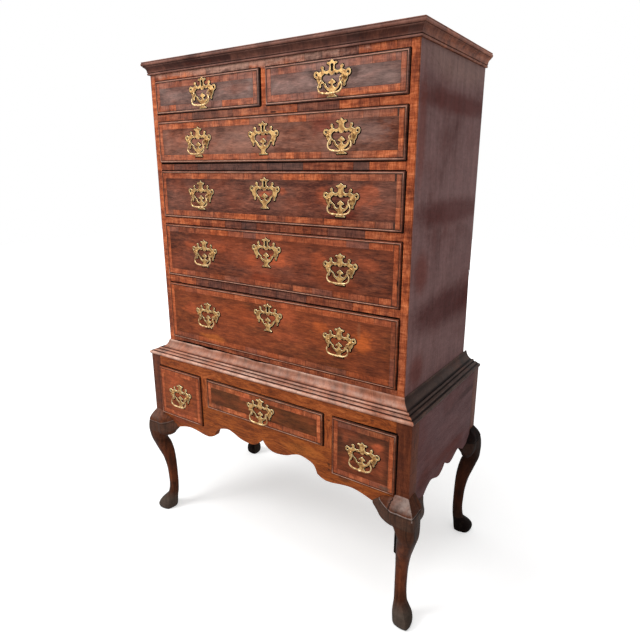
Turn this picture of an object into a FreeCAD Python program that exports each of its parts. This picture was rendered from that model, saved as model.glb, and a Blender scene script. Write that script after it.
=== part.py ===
"""Walnut chest on stand: two short and four long drawers over a stand with three drawers and cabriole legs.

Units are millimetres. X runs to the right, Y to the back and Z up. The origin is on the floor, midway
between the four feet. Every piece of wood and brass is its own solid, and each node of the
assembly is one STEP file in parts/.
"""

import FreeCAD, Part  # noqa: E401
import math
import os
from collections import namedtuple

Vector = FreeCAD.Vector
X_AXIS, Y_AXIS, Z_AXIS = Vector(1, 0, 0), Vector(0, 1, 0), Vector(0, 0, 1)

# --- the stand ---------------------------------------------------------------------------------
STAND_HALF_WIDTH = 526.0
STAND_HALF_DEPTH = 272.5
STAND_TOP = 651.0
STAND_BOARD = 22.0            # front and side boards
POST = 46.4                   # square head of each leg, seen as the corner stile
STAND_BACK_BOARD = 16.0
STAND_BACK_INSET = 4.5        # back board set in from the back of the posts
STAND_BACK_BOTTOM = 405.0
BEARER_WIDTH = 49.6
BEARER_HEIGHT = 20.0

# --- the upper case ----------------------------------------------------------------------------
CASE_HALF_WIDTH = 475.0
CASE_FRONT = -222.0
CASE_BACK = 252.0
CASE_TOP = 1643.0
TOP_BOARD = 18.0
CASE_SIDE = 27.8
CASE_BACK_BOARD = 12.0
BACK_PLANKS = 5
RAIL_DEPTH = 60.0
DUSTBOARD = 10.0
BASE_RAIL = 22.0              # front to back
DIVIDER = 30.0                # between the two short drawers
GUIDE_HEIGHT = 42.0
RUNNER_WIDTH = 20.0

# --- drawers -----------------------------------------------------------------------------------
LIP = 4.0                     # how far a drawer front laps over its opening on every edge
LIP_THICKNESS = 4.5
LIP_BEVEL = 3.0
LIP_GAP = 0.2                 # between the lip and the front of the carcase
BLOCK = 18.0                  # the part of a front that enters the opening
SIDE_PLAY = 1.0
TOP_PLAY = 1.0
RUNNING_PLAY = 0.5            # under the drawer bottom
LINING = 9.5                  # drawer sides
DRAWER_BACK = 9.0
DRAWER_BOTTOM = 7.0
BOTTOM_RABBET = 8.0
LAP = 12.0                    # length of the front dovetails
TAIL_ROOT, TAIL_TIP = 0.30, 0.38   # half widths of a tail, as shares of its pitch
CASE_DRAWER_LENGTH = 430.0
STAND_DRAWER_LENGTH = 480.0

# --- brasses -----------------------------------------------------------------------------------
PLATE = 1.6
POST_X, POST_DROP = 37.0, 9.0       # bail posts from the plate's centre and ring level
POST_HEAD, POST_REACH = 7.5, 11.0
POST_BORE = 2.3
BAIL_AXIS = 6.5                     # pivot in front of the plate
BAIL_ROD = 1.8
BAIL_LEAN = 0.13                    # forward lean of the hanging bail
SHANK = 4.0
SHANK_PAST_FRONT = 5.0
KEYHOLE_FOOT, KEYHOLE_HEAD = 1.6, 2.6      # half widths
KEYHOLE_LOW, KEYHOLE_HIGH = 6.5, 22.5

# --- locks -------------------------------------------------------------------------------------
LOCK_HALF_WIDTH = 26.0
LOCK_HEIGHT = 45.0
LOCK_FRONT = 7.0                    # wood left in front of the lock
BOLT_HALF_WIDTH, BOLT_LENGTH = 8.0, 25.0
BOLT_FRONT, BOLT_BACK = 9.5, 15.5
BOLT_PLAY = 0.3
BOLT_SUNK = 0.5
CHANNEL_DEPTH = 32.0
MORTISE_MARGIN, MORTISE_DEPTH = 2.0, 10.0

Drawer = namedtuple("Drawer", "name left right bottom top front length tails pulls ring lock plate_only")

SHORT_PULL, LONG_PULL = 235.0, 265.5
SHORT_RING_DROP, LOCK_RING_DROP = 37.5, 52.0   # ring level of a plate below the drawer's top edge
BANK = 451.2                                   # half width over the drawer fronts of the case
SHORT_INNER = 11.0
CENTRE_DRAWER = 242.0
SIDE_DRAWER_INNER, SIDE_DRAWER_OUTER = 273.6, 483.6

DRAWERS = [
    Drawer("short_left", -BANK, -SHORT_INNER, 1483.4, 1584.0, CASE_FRONT, CASE_DRAWER_LENGTH, 2,
           (-SHORT_PULL,), 1584.0 - SHORT_RING_DROP, -SHORT_PULL, False),
    Drawer("short_right", SHORT_INNER, BANK, 1483.4, 1584.0, CASE_FRONT, CASE_DRAWER_LENGTH, 2,
           (SHORT_PULL,), 1584.0 - SHORT_RING_DROP, SHORT_PULL, False),
    Drawer("long_first", -BANK, BANK, 1331.1, 1460.0, CASE_FRONT, CASE_DRAWER_LENGTH, 2,
           (-LONG_PULL, LONG_PULL), 1405.0, 0.0, True),
    Drawer("long_second", -BANK, BANK, 1153.9, 1305.7, CASE_FRONT, CASE_DRAWER_LENGTH, 3,
           (-LONG_PULL, LONG_PULL), 1241.0, 0.0, True),
    Drawer("long_third", -BANK, BANK, 951.6, 1129.7, CASE_FRONT, CASE_DRAWER_LENGTH, 3,
           (-LONG_PULL, LONG_PULL), 1052.0, 0.0, True),
    Drawer("long_fourth", -BANK, BANK, 721.1, 924.0, CASE_FRONT, CASE_DRAWER_LENGTH, 4,
           (-LONG_PULL, LONG_PULL), 838.8, 0.0, True),
    Drawer("stand_left", -SIDE_DRAWER_OUTER, -SIDE_DRAWER_INNER, 426.4, 614.0, -STAND_HALF_DEPTH,
           STAND_DRAWER_LENGTH, 3, (-378.6,), 528.5, None, False),
    Drawer("stand_centre", -CENTRE_DRAWER, CENTRE_DRAWER, 507.5, 614.0, -STAND_HALF_DEPTH,
           STAND_DRAWER_LENGTH, 2, (0.0,), 568.7, None, False),
    Drawer("stand_right", SIDE_DRAWER_INNER, SIDE_DRAWER_OUTER, 426.4, 614.0, -STAND_HALF_DEPTH,
           STAND_DRAWER_LENGTH, 3, (378.6,), 528.5, None, False),
]
BY_NAME = {drawer.name: drawer for drawer in DRAWERS}


# --- small helpers -----------------------------------------------------------------------------
def box(x, y, z):
    """A box from its (low, high) pairs."""
    return Part.makeBox(x[1] - x[0], y[1] - y[0], z[1] - z[0], Vector(x[0], y[0], z[0]))


def prism(points, direction):
    """A closed outline of vectors pushed along a direction."""
    return Part.Face(Part.makePolygon(points + points[:1])).extrude(direction)


def front_prism(outline, y_low, y_high):
    """An (x, z) outline cut out of a board that lies in the front plane."""
    return prism([Vector(x, y_low, z) for x, z in outline], Vector(0, y_high - y_low, 0))


def side_prism(outline, x_low, x_high):
    """A (y, z) outline cut out of a board that lies in the side plane."""
    return prism([Vector(x_low, y, z) for y, z in outline], Vector(x_high - x_low, 0, 0))


def faceted_loft(sections):
    """A closed solid of flat triangles through outlines that all have the same number of points."""
    faces = []
    for low, high in zip(sections, sections[1:]):
        for n in range(len(low)):
            m = (n + 1) % len(low)
            for corners in ((low[n], low[m], high[n]), (low[m], high[m], high[n])):
                faces.append(Part.Face(Part.makePolygon(list(corners) + [corners[0]])))
    for end in (sections[0], sections[-1]):
        faces.append(Part.Face(Part.makePolygon(end + end[:1])))
    shell = Part.makeShell(faces)
    shell.sewShape()
    solid = Part.makeSolid(shell)
    if solid.Volume < 0:
        solid.reverse()
    return solid


def mirrored(shape, normal):
    """The shape on the other side of the centre plane with this normal."""
    return shape.mirror(Vector(0, 0, 0), normal)


def both_sides(shape):
    """A piece and its mirror image on the other side of the object."""
    return [shape, mirrored(shape, X_AXIS)]


def save(node, solids):
    """Write one node: a single solid, or a group of separate ones."""
    shape = solids[0] if len(solids) == 1 else Part.makeCompound(solids)
    shape.exportStep(f"parts/{node}.step")
    volume = sum(solid.Volume for solid in solids)
    print(f"{node:28s} {len(solids):3d} solids {volume / 1000:10.1f} cm3")


# --- mouldings ---------------------------------------------------------------------------------
# Each profile is a list of (reach out from the case, height) with arcs as (middle, end) pairs.
CORNICE_BOTTOM = 1604.0
CORNICE_PROFILE = [
    (0, 0), (5, 0), (6.8, 3.2), (5, 6.5), (6.5, 7.5), ((9.5, 17), (16, 24.5)), (16, 26.5), (19, 28),
    (20, 32), (17.5, 36.5), (18.5, 39), (0, 39),
]
WAIST_PROFILE = [
    (0, 0), (48, 0), (53, 3), (56, 8), (54.5, 12.8), (48, 16), (32.6, 20), (30.5, 23.5), (26, 26.8),
    (21, 25.2), ((8.8, 36), (2.5, 51)), (0, 54),
]


def profile_wire(profile, place):
    """A closed wire through a moulding's profile; place turns (reach, height) into a vector."""
    edges, last, first = [], place(*profile[0]), place(*profile[0])
    for entry in profile[1:]:
        if isinstance(entry[0], tuple):
            middle, end = place(*entry[0]), place(*entry[1])
            edges.append(Part.Arc(last, middle, end).toShape())
        else:
            end = place(*entry)
            edges.append(Part.LineSegment(last, end).toShape())
        last = end
    edges.append(Part.LineSegment(last, first).toShape())
    return Part.Wire(edges)


def moulding(profile, bottom, back):
    """The front and the two returns of a moulding, mitred where they meet and square at the back."""
    run = max(entry[0][0] if isinstance(entry[0], tuple) else entry[0] for entry in profile) + 10
    corner = Vector(CASE_HALF_WIDTH, CASE_FRONT, bottom - 10)
    mitre = [corner + Vector(-run, run, 0), corner + Vector(2 * run, -2 * run, 0),
             corner + Vector(-run, -2 * run, 0)]
    front_side = prism(mitre, Vector(0, 0, 100))

    def front_place(reach, height):
        return Vector(-CASE_HALF_WIDTH - run, CASE_FRONT - reach, bottom + height)

    def return_place(reach, height):
        return Vector(CASE_HALF_WIDTH + reach, CASE_FRONT - run, bottom + height)

    length = 2 * (CASE_HALF_WIDTH + run)
    front = Part.Face(profile_wire(profile, front_place)).extrude(Vector(length, 0, 0))
    return_side = mirrored_over_mitre(front_side, corner)
    front = front.cut(return_side).cut(mirrored(return_side, X_AXIS))
    side = Part.Face(profile_wire(profile, return_place)).extrude(Vector(0, back - CASE_FRONT + run, 0))
    side = side.cut(front_side)
    return [front.Solids[0]] + [piece.Solids[0] for piece in both_sides(side)]


def mirrored_over_mitre(wedge, corner):
    """The wedge on the other side of the 45 degree mitre plane through the corner."""
    return wedge.mirror(corner, Vector(1, 1, 0))


# --- the case ----------------------------------------------------------------------------------
CASE_INNER = CASE_HALF_WIDTH - CASE_SIDE
CASE_DRAWER_ROWS = ["long_fourth", "long_third", "long_second", "long_first", "short_left"]


def rail_heights():
    """The (bottom, top) of every rail of the case, from the lowest to the one under the cornice."""
    rows = [BY_NAME[name] for name in CASE_DRAWER_ROWS]
    bottoms = [STAND_TOP] + [row.top - LIP for row in rows]
    tops = [row.bottom + LIP for row in rows] + [CASE_TOP - TOP_BOARD]
    return list(zip(bottoms, tops))


def bolt_mortise(drawer):
    """The hollow that a drawer's lock bolt rises into, cut in the rail above it."""
    rail_bottom = drawer.top - LIP
    half_width = BOLT_HALF_WIDTH + MORTISE_MARGIN
    return box((drawer.lock - half_width, drawer.lock + half_width),
               (drawer.front + BOLT_FRONT - MORTISE_MARGIN, drawer.front + BOLT_BACK + MORTISE_MARGIN),
               (rail_bottom - 1, rail_bottom + MORTISE_DEPTH))


def case_rails():
    """The rails across the front, with the divider and the guide between the short drawers."""
    rails = []
    for number, (bottom, top) in enumerate(rail_heights()):
        depth = BASE_RAIL if number == 0 else RAIL_DEPTH
        rail = box((-CASE_INNER, CASE_INNER), (CASE_FRONT, CASE_FRONT + depth), (bottom, top))
        for drawer in DRAWERS:
            if drawer.lock is not None and abs(drawer.top - LIP - bottom) < 1:
                rail = rail.cut(bolt_mortise(drawer))
        rails.append(rail)
    short = BY_NAME["short_left"]
    low, high = short.bottom + LIP, short.top - LIP
    rails.append(box((-DIVIDER / 2, DIVIDER / 2), (CASE_FRONT, CASE_FRONT + RAIL_DEPTH), (low, high)))
    rails.append(box((-DIVIDER / 2, DIVIDER / 2), (CASE_FRONT + RAIL_DEPTH, CASE_BACK - CASE_BACK_BOARD),
                     (low, low + GUIDE_HEIGHT)))
    return rails


def case_boards():
    """Top, bottom and dust boards, and the runners of the lowest drawer."""
    back = CASE_BACK - CASE_BACK_BOARD
    boards = [
        box((-CASE_HALF_WIDTH, CASE_HALF_WIDTH), (CASE_FRONT, CASE_BACK), (CASE_TOP - TOP_BOARD, CASE_TOP)),
        box((-CASE_INNER, CASE_INNER), (CASE_FRONT + BASE_RAIL, back), (STAND_TOP, STAND_TOP + TOP_BOARD)),
    ]
    runner_top = rail_heights()[0][1]
    boards += both_sides(box((CASE_INNER - RUNNER_WIDTH, CASE_INNER), (CASE_FRONT + BASE_RAIL, back),
                             (runner_top - RUNNER_WIDTH, runner_top)))
    for _, top in rail_heights()[1:-1]:
        boards.append(box((-CASE_INNER, CASE_INNER), (CASE_FRONT + RAIL_DEPTH, back),
                          (top - DUSTBOARD, top)))
    return boards


def case_back():
    """Upright planks nailed across the back."""
    width = 2 * CASE_INNER / BACK_PLANKS
    return [box((-CASE_INNER + n * width, -CASE_INNER + (n + 1) * width),
                (CASE_BACK - CASE_BACK_BOARD, CASE_BACK), (STAND_TOP, CASE_TOP - TOP_BOARD))
            for n in range(BACK_PLANKS)]


def case_sides():
    return both_sides(box((CASE_INNER, CASE_HALF_WIDTH), (CASE_FRONT, CASE_BACK),
                          (STAND_TOP, CASE_TOP - TOP_BOARD)))


# --- the stand ---------------------------------------------------------------------------------
POST_INNER_X = STAND_HALF_WIDTH - POST
POST_INNER_Y = STAND_HALF_DEPTH - POST

# Lower edge of the front and side boards, from the middle outwards: a start and then arcs, each given
# as (a point it passes, its end).
FRONT_APRON = [
    (0, 457), ((50, 423), (102, 430)), ((152, 447), (206, 430)), ((219, 404), (251, 391)),
    ((276, 392.3), (300, 396.5)), ((338, 400.5), (410, 384)),
]
SIDE_APRON = [(0, 416), ((44, 390.5), (82, 399)), ((113, 408), (165, 384))]


def shaped_board(apron, end, top, place):
    """The face of a board with square upper corners; its lower edge is the same on both sides."""
    edges = []
    for side in (1, -1):
        last = place(*apron[0])
        for middle, tip in apron[1:]:
            through, stop = place(side * middle[0], middle[1]), place(side * tip[0], tip[1])
            edges.append(Part.Arc(last, through, stop).toShape())
            last = stop
        height = apron[-1][1][1]
        for corner in (place(side * end, height), place(side * end, top)):
            edges.append(Part.LineSegment(last, corner).toShape())
            last = corner
    edges.append(Part.LineSegment(place(-end, top), place(end, top)).toShape())
    return Part.Face(Part.Wire(Part.__sortEdges__(edges)))


def stand_front():
    """The deep shaped board with its three drawer openings, and the rail over them."""
    opening_top = BY_NAME["stand_centre"].top - LIP
    board = shaped_board(FRONT_APRON, POST_INNER_X, opening_top,
                         lambda x, z: Vector(x, -STAND_HALF_DEPTH, z))
    board = board.extrude(Vector(0, STAND_BOARD, 0))
    for drawer in DRAWERS:
        if drawer.name.startswith("stand"):
            board = board.cut(box((drawer.left + LIP, drawer.right - LIP),
                                  (-STAND_HALF_DEPTH - 1, -STAND_HALF_DEPTH + STAND_BOARD + 1),
                                  (drawer.bottom + LIP, drawer.top)))
    rail = box((-POST_INNER_X, POST_INNER_X), (-STAND_HALF_DEPTH, -STAND_HALF_DEPTH + STAND_BOARD),
               (opening_top, STAND_TOP))
    return [board.Solids[0], rail]


def stand_sides():
    board = shaped_board(SIDE_APRON, POST_INNER_Y, STAND_TOP,
                         lambda y, z: Vector(STAND_HALF_WIDTH - STAND_BOARD, y, z))
    return both_sides(board.extrude(Vector(STAND_BOARD, 0, 0)))


STAND_BACK_FACE = STAND_HALF_DEPTH - STAND_BACK_INSET - STAND_BACK_BOARD


def stand_back():
    return [box((-POST_INNER_X, POST_INNER_X), (STAND_BACK_FACE, STAND_BACK_FACE + STAND_BACK_BOARD),
                (STAND_BACK_BOTTOM, STAND_TOP))]


PARTITION = (248.0, 268.0)
RUNNER_HEIGHT = 16.0


def stand_runners():
    """Bearers for the upper case, the two partitions, and the runners of the three drawers."""
    back_of_front = -STAND_HALF_DEPTH + STAND_BOARD
    inside = (back_of_front, STAND_BACK_FACE)
    side_bottom = BY_NAME["stand_right"].bottom + LIP
    centre_bottom = BY_NAME["stand_centre"].bottom + LIP
    pieces = []
    pieces += both_sides(box((POST_INNER_X - BEARER_WIDTH, POST_INNER_X), inside,
                             (STAND_TOP - BEARER_HEIGHT, STAND_TOP)))
    pieces += both_sides(box(PARTITION, inside, (side_bottom - RUNNER_HEIGHT, STAND_TOP)))
    pieces += both_sides(box((PARTITION[0] - 26, PARTITION[0]), inside,
                             (centre_bottom - RUNNER_HEIGHT, centre_bottom)))
    pieces += both_sides(box((PARTITION[1], PARTITION[1] + 26), inside,
                             (side_bottom - RUNNER_HEIGHT, side_bottom)))
    pieces += both_sides(box((POST_INNER_X - 20, STAND_HALF_WIDTH - STAND_BOARD),
                             (-POST_INNER_Y, POST_INNER_Y), (side_bottom - RUNNER_HEIGHT, side_bottom)))
    return pieces


# --- cabriole legs -----------------------------------------------------------------------------
# Each leg is shaped on the diagonal of its corner. A station gives the height, how far the leg reaches
# out and in along the diagonal from the middle of the foot, its half width across, and how square it
# is: 1 is a square that lies with the stand, 2 is an ellipse.
FOOT_INSET = 10.9             # the middle of the foot, in from the stand's corner in X and in Y
POST_BOTTOM = 388.0
LEG_FACETS = 12
LEG_STATIONS = [
    (427, 12, -46, 28, 1.1), (420, 19, -46, 33, 1.15), (404, 32, -48, 38, 1.2),
    (380, 45, -47, 41.5, 1.3), (352, 49, -44, 42.5, 1.4), (330, 48, -30, 39, 1.5),
    (310, 44.5, -15, 32, 1.6), (288, 36.5, -24, 28.5, 1.7), (259, 24, -31.7, 25, 1.8),
    (225, 8.5, -36, 21.5, 1.95), (180, -2, -38.4, 18.5, 2), (100, -6.5, -39.2, 17.5, 2),
    (66, -0.5, -37, 19, 2), (52, 11, -35, 23.5, 2), (38, 30, -33.5, 29, 2), (26, 42, -33, 30.7, 2),
    (0, 31, -26, 25, 2),
]
# Knee bracket: distance from the post along the board, lower and upper edge, and swell in front of it.
BRACKET_STATIONS = [(0, 333, 426, 24), (25, 338, 418, 15), (49, 360, 401, 6), (67, 378, 389, 1)]
BRACKET_INSIDE = 12.0         # how far the bracket reaches behind the face of the board


def leg_section(station):
    """One closed outline of the leg at the front right corner, before it is moved to its place."""
    height, out, inward, half_width, squareness = station
    middle, half_length, power = (out + inward) / 2, (out - inward) / 2, 2 / squareness
    foot_x, foot_y = STAND_HALF_WIDTH - FOOT_INSET, -STAND_HALF_DEPTH + FOOT_INSET
    points = []
    for n in range(LEG_FACETS):
        c, s = math.cos(2 * math.pi * n / LEG_FACETS), math.sin(2 * math.pi * n / LEG_FACETS)
        along = middle + half_length * math.copysign(abs(c) ** power, c)
        across = half_width * math.copysign(abs(s) ** power, s)
        right, back = (along + across) / math.sqrt(2), (across - along) / math.sqrt(2)
        points.append(Vector(foot_x + right, foot_y + back, height))
    return points


def front_right_leg():
    """The square post and the cabriole leg below it, in one piece as it is sawn."""
    shaft = faceted_loft([leg_section(station) for station in LEG_STATIONS])
    foot_of_boards = FRONT_APRON[-1][1][1]
    for x, y in (((POST_INNER_X - 20, POST_INNER_X), (-STAND_HALF_DEPTH, -POST_INNER_Y + 20)),
                 ((POST_INNER_X - 20, STAND_HALF_WIDTH), (-POST_INNER_Y, -POST_INNER_Y + 20))):
        shaft = shaft.cut(box(x, y, (foot_of_boards, STAND_TOP)))
    post = box((POST_INNER_X, STAND_HALF_WIDTH), (-STAND_HALF_DEPTH, -POST_INNER_Y),
               (POST_BOTTOM, STAND_TOP))
    return shaft.fuse(post).removeSplitter()


def bracket_blank(place):
    """The swelling bracket beside the knee; place turns (along, swell, height) into a vector."""
    sections = []
    for along, low, high, swell in BRACKET_STATIONS:
        height = high - low
        outline = [(-BRACKET_INSIDE, low), (-BRACKET_INSIDE, high), (0, high),
                   (0.85 * swell, high - 0.25 * height), (swell, low + 0.4 * height), (0.5 * swell, low)]
        sections.append([place(along, depth, z) for depth, z in outline])
    return faceted_loft(sections)


def legs():
    """Four legs, each with its two knee brackets fitted round the post and the boards."""
    leg = front_right_leg()
    front_board = stand_front()[0]
    side_board = stand_sides()[0]
    front_bracket = bracket_blank(
        lambda along, swell, z: Vector(POST_INNER_X - along, -STAND_HALF_DEPTH - swell, z))
    side_bracket = bracket_blank(
        lambda along, swell, z: Vector(STAND_HALF_WIDTH + swell, -POST_INNER_Y + along, z))
    pieces = [leg]
    for bracket, board in ((front_bracket, front_board), (side_bracket, side_board)):
        fitted = bracket.cut(board).cut(leg)
        pieces.append(max(fitted.Solids, key=lambda solid: solid.Volume))
    for side, x_name in ((1, "right"), (-1, "left")):
        for end, y_name in ((-1, "front"), (1, "back")):
            placed = [mirrored(piece, X_AXIS) if side < 0 else piece for piece in pieces]
            placed = [mirrored(piece, Y_AXIS) if end > 0 else piece for piece in placed]
            save(f"leg_{y_name}_{x_name}", placed)


# --- brass plates and bails --------------------------------------------------------------------
# Half of the pierced plate, (x, z) from the middle at the level of the two end rings.
PLATE_OUTSIDE = [
    (0, 33), (6, 28.5), (17.5, 26.5), (15.5, 21.5), (7, 20), (7.5, 8), (18, 3.5), (27, 19.5), (35.5, 18),
    (32.5, 9), (46, 7), (57, 3.5), (56, -5), (47, -8.5), (43.5, -20), (40, -33.5), (34, -24), (22, -37),
    (8, -41.5), (6.5, -47), (15.5, -53), (15.5, -56),
]
PLATE_INSIDE = [
    (0, -1.5), (7, 2), (28, 1), (31, -9), (16, -31), (6, -33.5), (4, -26), (11.5, -19.5), (0, -12.5),
]
# Half of a bail, (x, z) from the plate's middle and ring level, from the pin in the post to the grip.
BAIL_HALF = [(39.5, -9), (28, -9), (28.5, -18), (35.5, -29), (33.5, -41), (22, -47.5)]


def whole(half):
    """Both halves of a symmetric outline, in order round it."""
    return half + [(-x, z) for x, z in reversed(half) if x]


def face_y(drawer):
    """The plane of the drawer's outer face."""
    return drawer.front - LIP_GAP - LIP_THICKNESS


def keyhole(x, ring, y_low, y_high):
    """A slot for the key, wider at its head."""
    low, high = ring + KEYHOLE_LOW, ring + KEYHOLE_HIGH
    outline = [(x - KEYHOLE_FOOT, low), (x + KEYHOLE_FOOT, low), (x + KEYHOLE_HEAD, high),
               (x - KEYHOLE_HEAD, high)]
    return front_prism(outline, y_low, y_high)


def fret_plate(drawer, x, ring, with_keyhole, with_posts):
    """One pierced plate, with its holes for the posts and the key."""
    front, back = face_y(drawer) - PLATE, face_y(drawer)
    plate = front_prism([(x + dx, ring + dz) for dx, dz in whole(PLATE_OUTSIDE)], front, back)
    piercing = [(x + dx, ring + dz) for dx, dz in whole(PLATE_INSIDE)]
    plate = plate.cut(front_prism(piercing, front - 1, back + 1))
    if with_keyhole:
        plate = plate.cut(keyhole(x, ring, front - 1, back + 1))
    if with_posts:
        for side in (-1, 1):
            plate = plate.cut(shank(drawer, x + side * POST_X, ring - POST_DROP))
    return plate


def shank(drawer, x, z):
    """The square shank that holds a post through the plate and the drawer front."""
    half = SHANK / 2
    return box((x - half, x + half), (face_y(drawer) - PLATE, drawer.front + BLOCK + SHANK_PAST_FRONT),
               (z - half, z + half))


def hexagon(centre, radius):
    """A six-sided outline across the X axis."""
    turns = [math.radians(60 * n) for n in range(7)]
    return Part.makePolygon([centre + Vector(0, radius * math.cos(a), radius * math.sin(a)) for a in turns])


def bail_posts(drawer, x, ring):
    """The two posts of a bail, each with its shank through the plate and the drawer front."""
    z = ring - POST_DROP
    plate_front = face_y(drawer) - PLATE
    half = POST_HEAD / 2
    posts = []
    for post_x in (x - POST_X, x + POST_X):
        head = box((post_x - half, post_x + half), (plate_front - POST_REACH, plate_front),
                   (z - half, z + half))
        bore = hexagon(Vector(post_x - half - 1, plate_front - BAIL_AXIS, z), POST_BORE)
        head = head.cut(Part.Face(bore).extrude(Vector(POST_HEAD + 2, 0, 0)))
        posts.append(head.fuse(shank(drawer, post_x, z)))
    return posts


def bail(drawer, x, ring):
    """A swan-neck bail that hangs from its two pins and leans a little forwards."""
    axis_y = face_y(drawer) - PLATE - BAIL_AXIS
    path = [Vector(x + dx, axis_y + BAIL_LEAN * (dz + POST_DROP), ring + dz) for dx, dz in whole(BAIL_HALF)]
    return Part.makePolygon(path).makePipeShell([hexagon(path[0], BAIL_ROD)], True, False, 1)


# --- locks -------------------------------------------------------------------------------------
def block_top(drawer):
    """The top of the part of a drawer front that enters its opening."""
    return drawer.top - LIP - TOP_PLAY


def lock_blank(drawer):
    top = block_top(drawer)
    return box((drawer.lock - LOCK_HALF_WIDTH, drawer.lock + LOCK_HALF_WIDTH),
               (drawer.front + LOCK_FRONT, drawer.front + BLOCK), (top - LOCK_HEIGHT, top))


def lock_ring(drawer):
    """The ring level of the plate that holds the keyhole."""
    return drawer.top - LOCK_RING_DROP if drawer.plate_only else drawer.ring


def lock_case(drawer):
    """The lock's case with the channel that its bolt slides in."""
    top = block_top(drawer)
    channel = box((drawer.lock - BOLT_HALF_WIDTH - BOLT_PLAY, drawer.lock + BOLT_HALF_WIDTH + BOLT_PLAY),
                  (drawer.front + BOLT_FRONT - BOLT_PLAY, drawer.front + BOLT_BACK + BOLT_PLAY),
                  (top - CHANNEL_DEPTH, top + 1))
    hole = keyhole(drawer.lock, lock_ring(drawer), drawer.front + LOCK_FRONT - 1, drawer.front + BOLT_FRONT)
    return lock_blank(drawer).cut(channel).cut(hole)


def lock_bolt(drawer):
    top = block_top(drawer) - BOLT_SUNK
    return box((drawer.lock - BOLT_HALF_WIDTH, drawer.lock + BOLT_HALF_WIDTH),
               (drawer.front + BOLT_FRONT, drawer.front + BOLT_BACK), (top - BOLT_LENGTH, top))


# --- drawers -----------------------------------------------------------------------------------
def box_limits(drawer):
    """Outer left, right, bottom and top of the part of a drawer that enters its opening."""
    return (drawer.left + LIP + SIDE_PLAY, drawer.right - LIP - SIDE_PLAY,
            drawer.bottom + LIP + RUNNING_PLAY, block_top(drawer))


def lining_outline(drawer):
    """The (y, z) outline of a drawer side: its front end is cut into dovetails."""
    _, _, bottom, top = box_limits(drawer)
    low, high = bottom + DRAWER_BOTTOM, top - 1
    pitch = (high - low) / drawer.tails
    shoulder, end = drawer.front + BLOCK, drawer.front + drawer.length
    outline = [(shoulder, low), (end, low), (end, high), (shoulder, high)]
    for n in reversed(range(drawer.tails)):
        centre = low + (n + 0.5) * pitch
        outline += [(shoulder, centre + TAIL_ROOT * pitch), (shoulder - LAP, centre + TAIL_TIP * pitch),
                    (shoulder - LAP, centre - TAIL_TIP * pitch), (shoulder, centre - TAIL_ROOT * pitch)]
    return outline


def linings(drawer):
    """The two sides, the back and the bottom of a drawer."""
    left, right, bottom, top = box_limits(drawer)
    low = bottom + DRAWER_BOTTOM
    end = drawer.front + drawer.length
    sides = [side_prism(lining_outline(drawer), left, left + LINING),
             side_prism(lining_outline(drawer), right - LINING, right)]
    back = box((left + LINING, right - LINING), (end - DRAWER_BACK, end), (low, top - 1))
    base = box((left, right), (drawer.front + BLOCK - BOTTOM_RABBET, end), (bottom, low))
    return sides + [back, base]


def drawer_front(drawer, lining_solids):
    """The lipped front, with its bevelled edge, dovetail sockets, lock pocket and holes."""
    face, lip_back = face_y(drawer), drawer.front - LIP_GAP
    flat = lip_back - (LIP_THICKNESS - LIP_BEVEL)
    rings = []
    for y, inset in ((flat, 0), (face, LIP_BEVEL)):
        x0, x1 = drawer.left + inset, drawer.right - inset
        z0, z1 = drawer.bottom + inset, drawer.top - inset
        rings.append(Part.makePolygon([Vector(x0, y, z0), Vector(x1, y, z0), Vector(x1, y, z1),
                                       Vector(x0, y, z1), Vector(x0, y, z0)]))
    lip = box((drawer.left, drawer.right), (flat, lip_back), (drawer.bottom, drawer.top))
    left, right, bottom, top = box_limits(drawer)
    block = box((left, right), (lip_back, drawer.front + BLOCK), (bottom, top))
    front = lip.fuse([Part.makeLoft(rings, True, True), block]).removeSplitter()
    for solid in lining_solids:
        front = front.cut(solid)
    for x in drawer.pulls:
        for side in (-1, 1):
            front = front.cut(shank(drawer, x + side * POST_X, drawer.ring - POST_DROP))
    if drawer.lock is not None:
        front = front.cut(lock_blank(drawer))
        front = front.cut(keyhole(drawer.lock, lock_ring(drawer), face - 1, drawer.front + LOCK_FRONT + 1))
    return front


def bail_names(drawer):
    """The node name of each bail, from left to right."""
    if len(drawer.pulls) == 1:
        return [f"{drawer.name}_bail"]
    return [f"{drawer.name}_bail_left", f"{drawer.name}_bail_right"]


def build_drawer(drawer):
    """Every node of one drawer."""
    lining_solids = linings(drawer)
    save(f"{drawer.name}_front", [drawer_front(drawer, lining_solids)])
    save(f"{drawer.name}_box", lining_solids)
    brasses = []
    for x, node in zip(drawer.pulls, bail_names(drawer)):
        keyed = drawer.lock is not None and not drawer.plate_only
        brasses.append(fret_plate(drawer, x, drawer.ring, keyed, True))
        brasses += bail_posts(drawer, x, drawer.ring)
        save(node, [bail(drawer, x, drawer.ring)])
    if drawer.plate_only:
        brasses.append(fret_plate(drawer, drawer.lock, lock_ring(drawer), True, False))
    if drawer.lock is not None:
        brasses.append(lock_case(drawer))
        save(f"{drawer.name}_lock_bolt", [lock_bolt(drawer)])
    save(f"{drawer.name}_brasses", brasses)


def main():
    os.makedirs("parts", exist_ok=True)
    save("cornice", moulding(CORNICE_PROFILE, CORNICE_BOTTOM, CASE_BACK))
    save("case_sides", case_sides())
    save("case_boards", case_boards())
    save("case_back", case_back())
    save("case_rails", case_rails())
    save("waist_moulding", moulding(WAIST_PROFILE, STAND_TOP, STAND_HALF_DEPTH))
    save("stand_front", stand_front())
    save("stand_sides", stand_sides())
    save("stand_back", stand_back())
    save("stand_runners", stand_runners())
    legs()
    for drawer in DRAWERS:
        build_drawer(drawer)


main()
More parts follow.
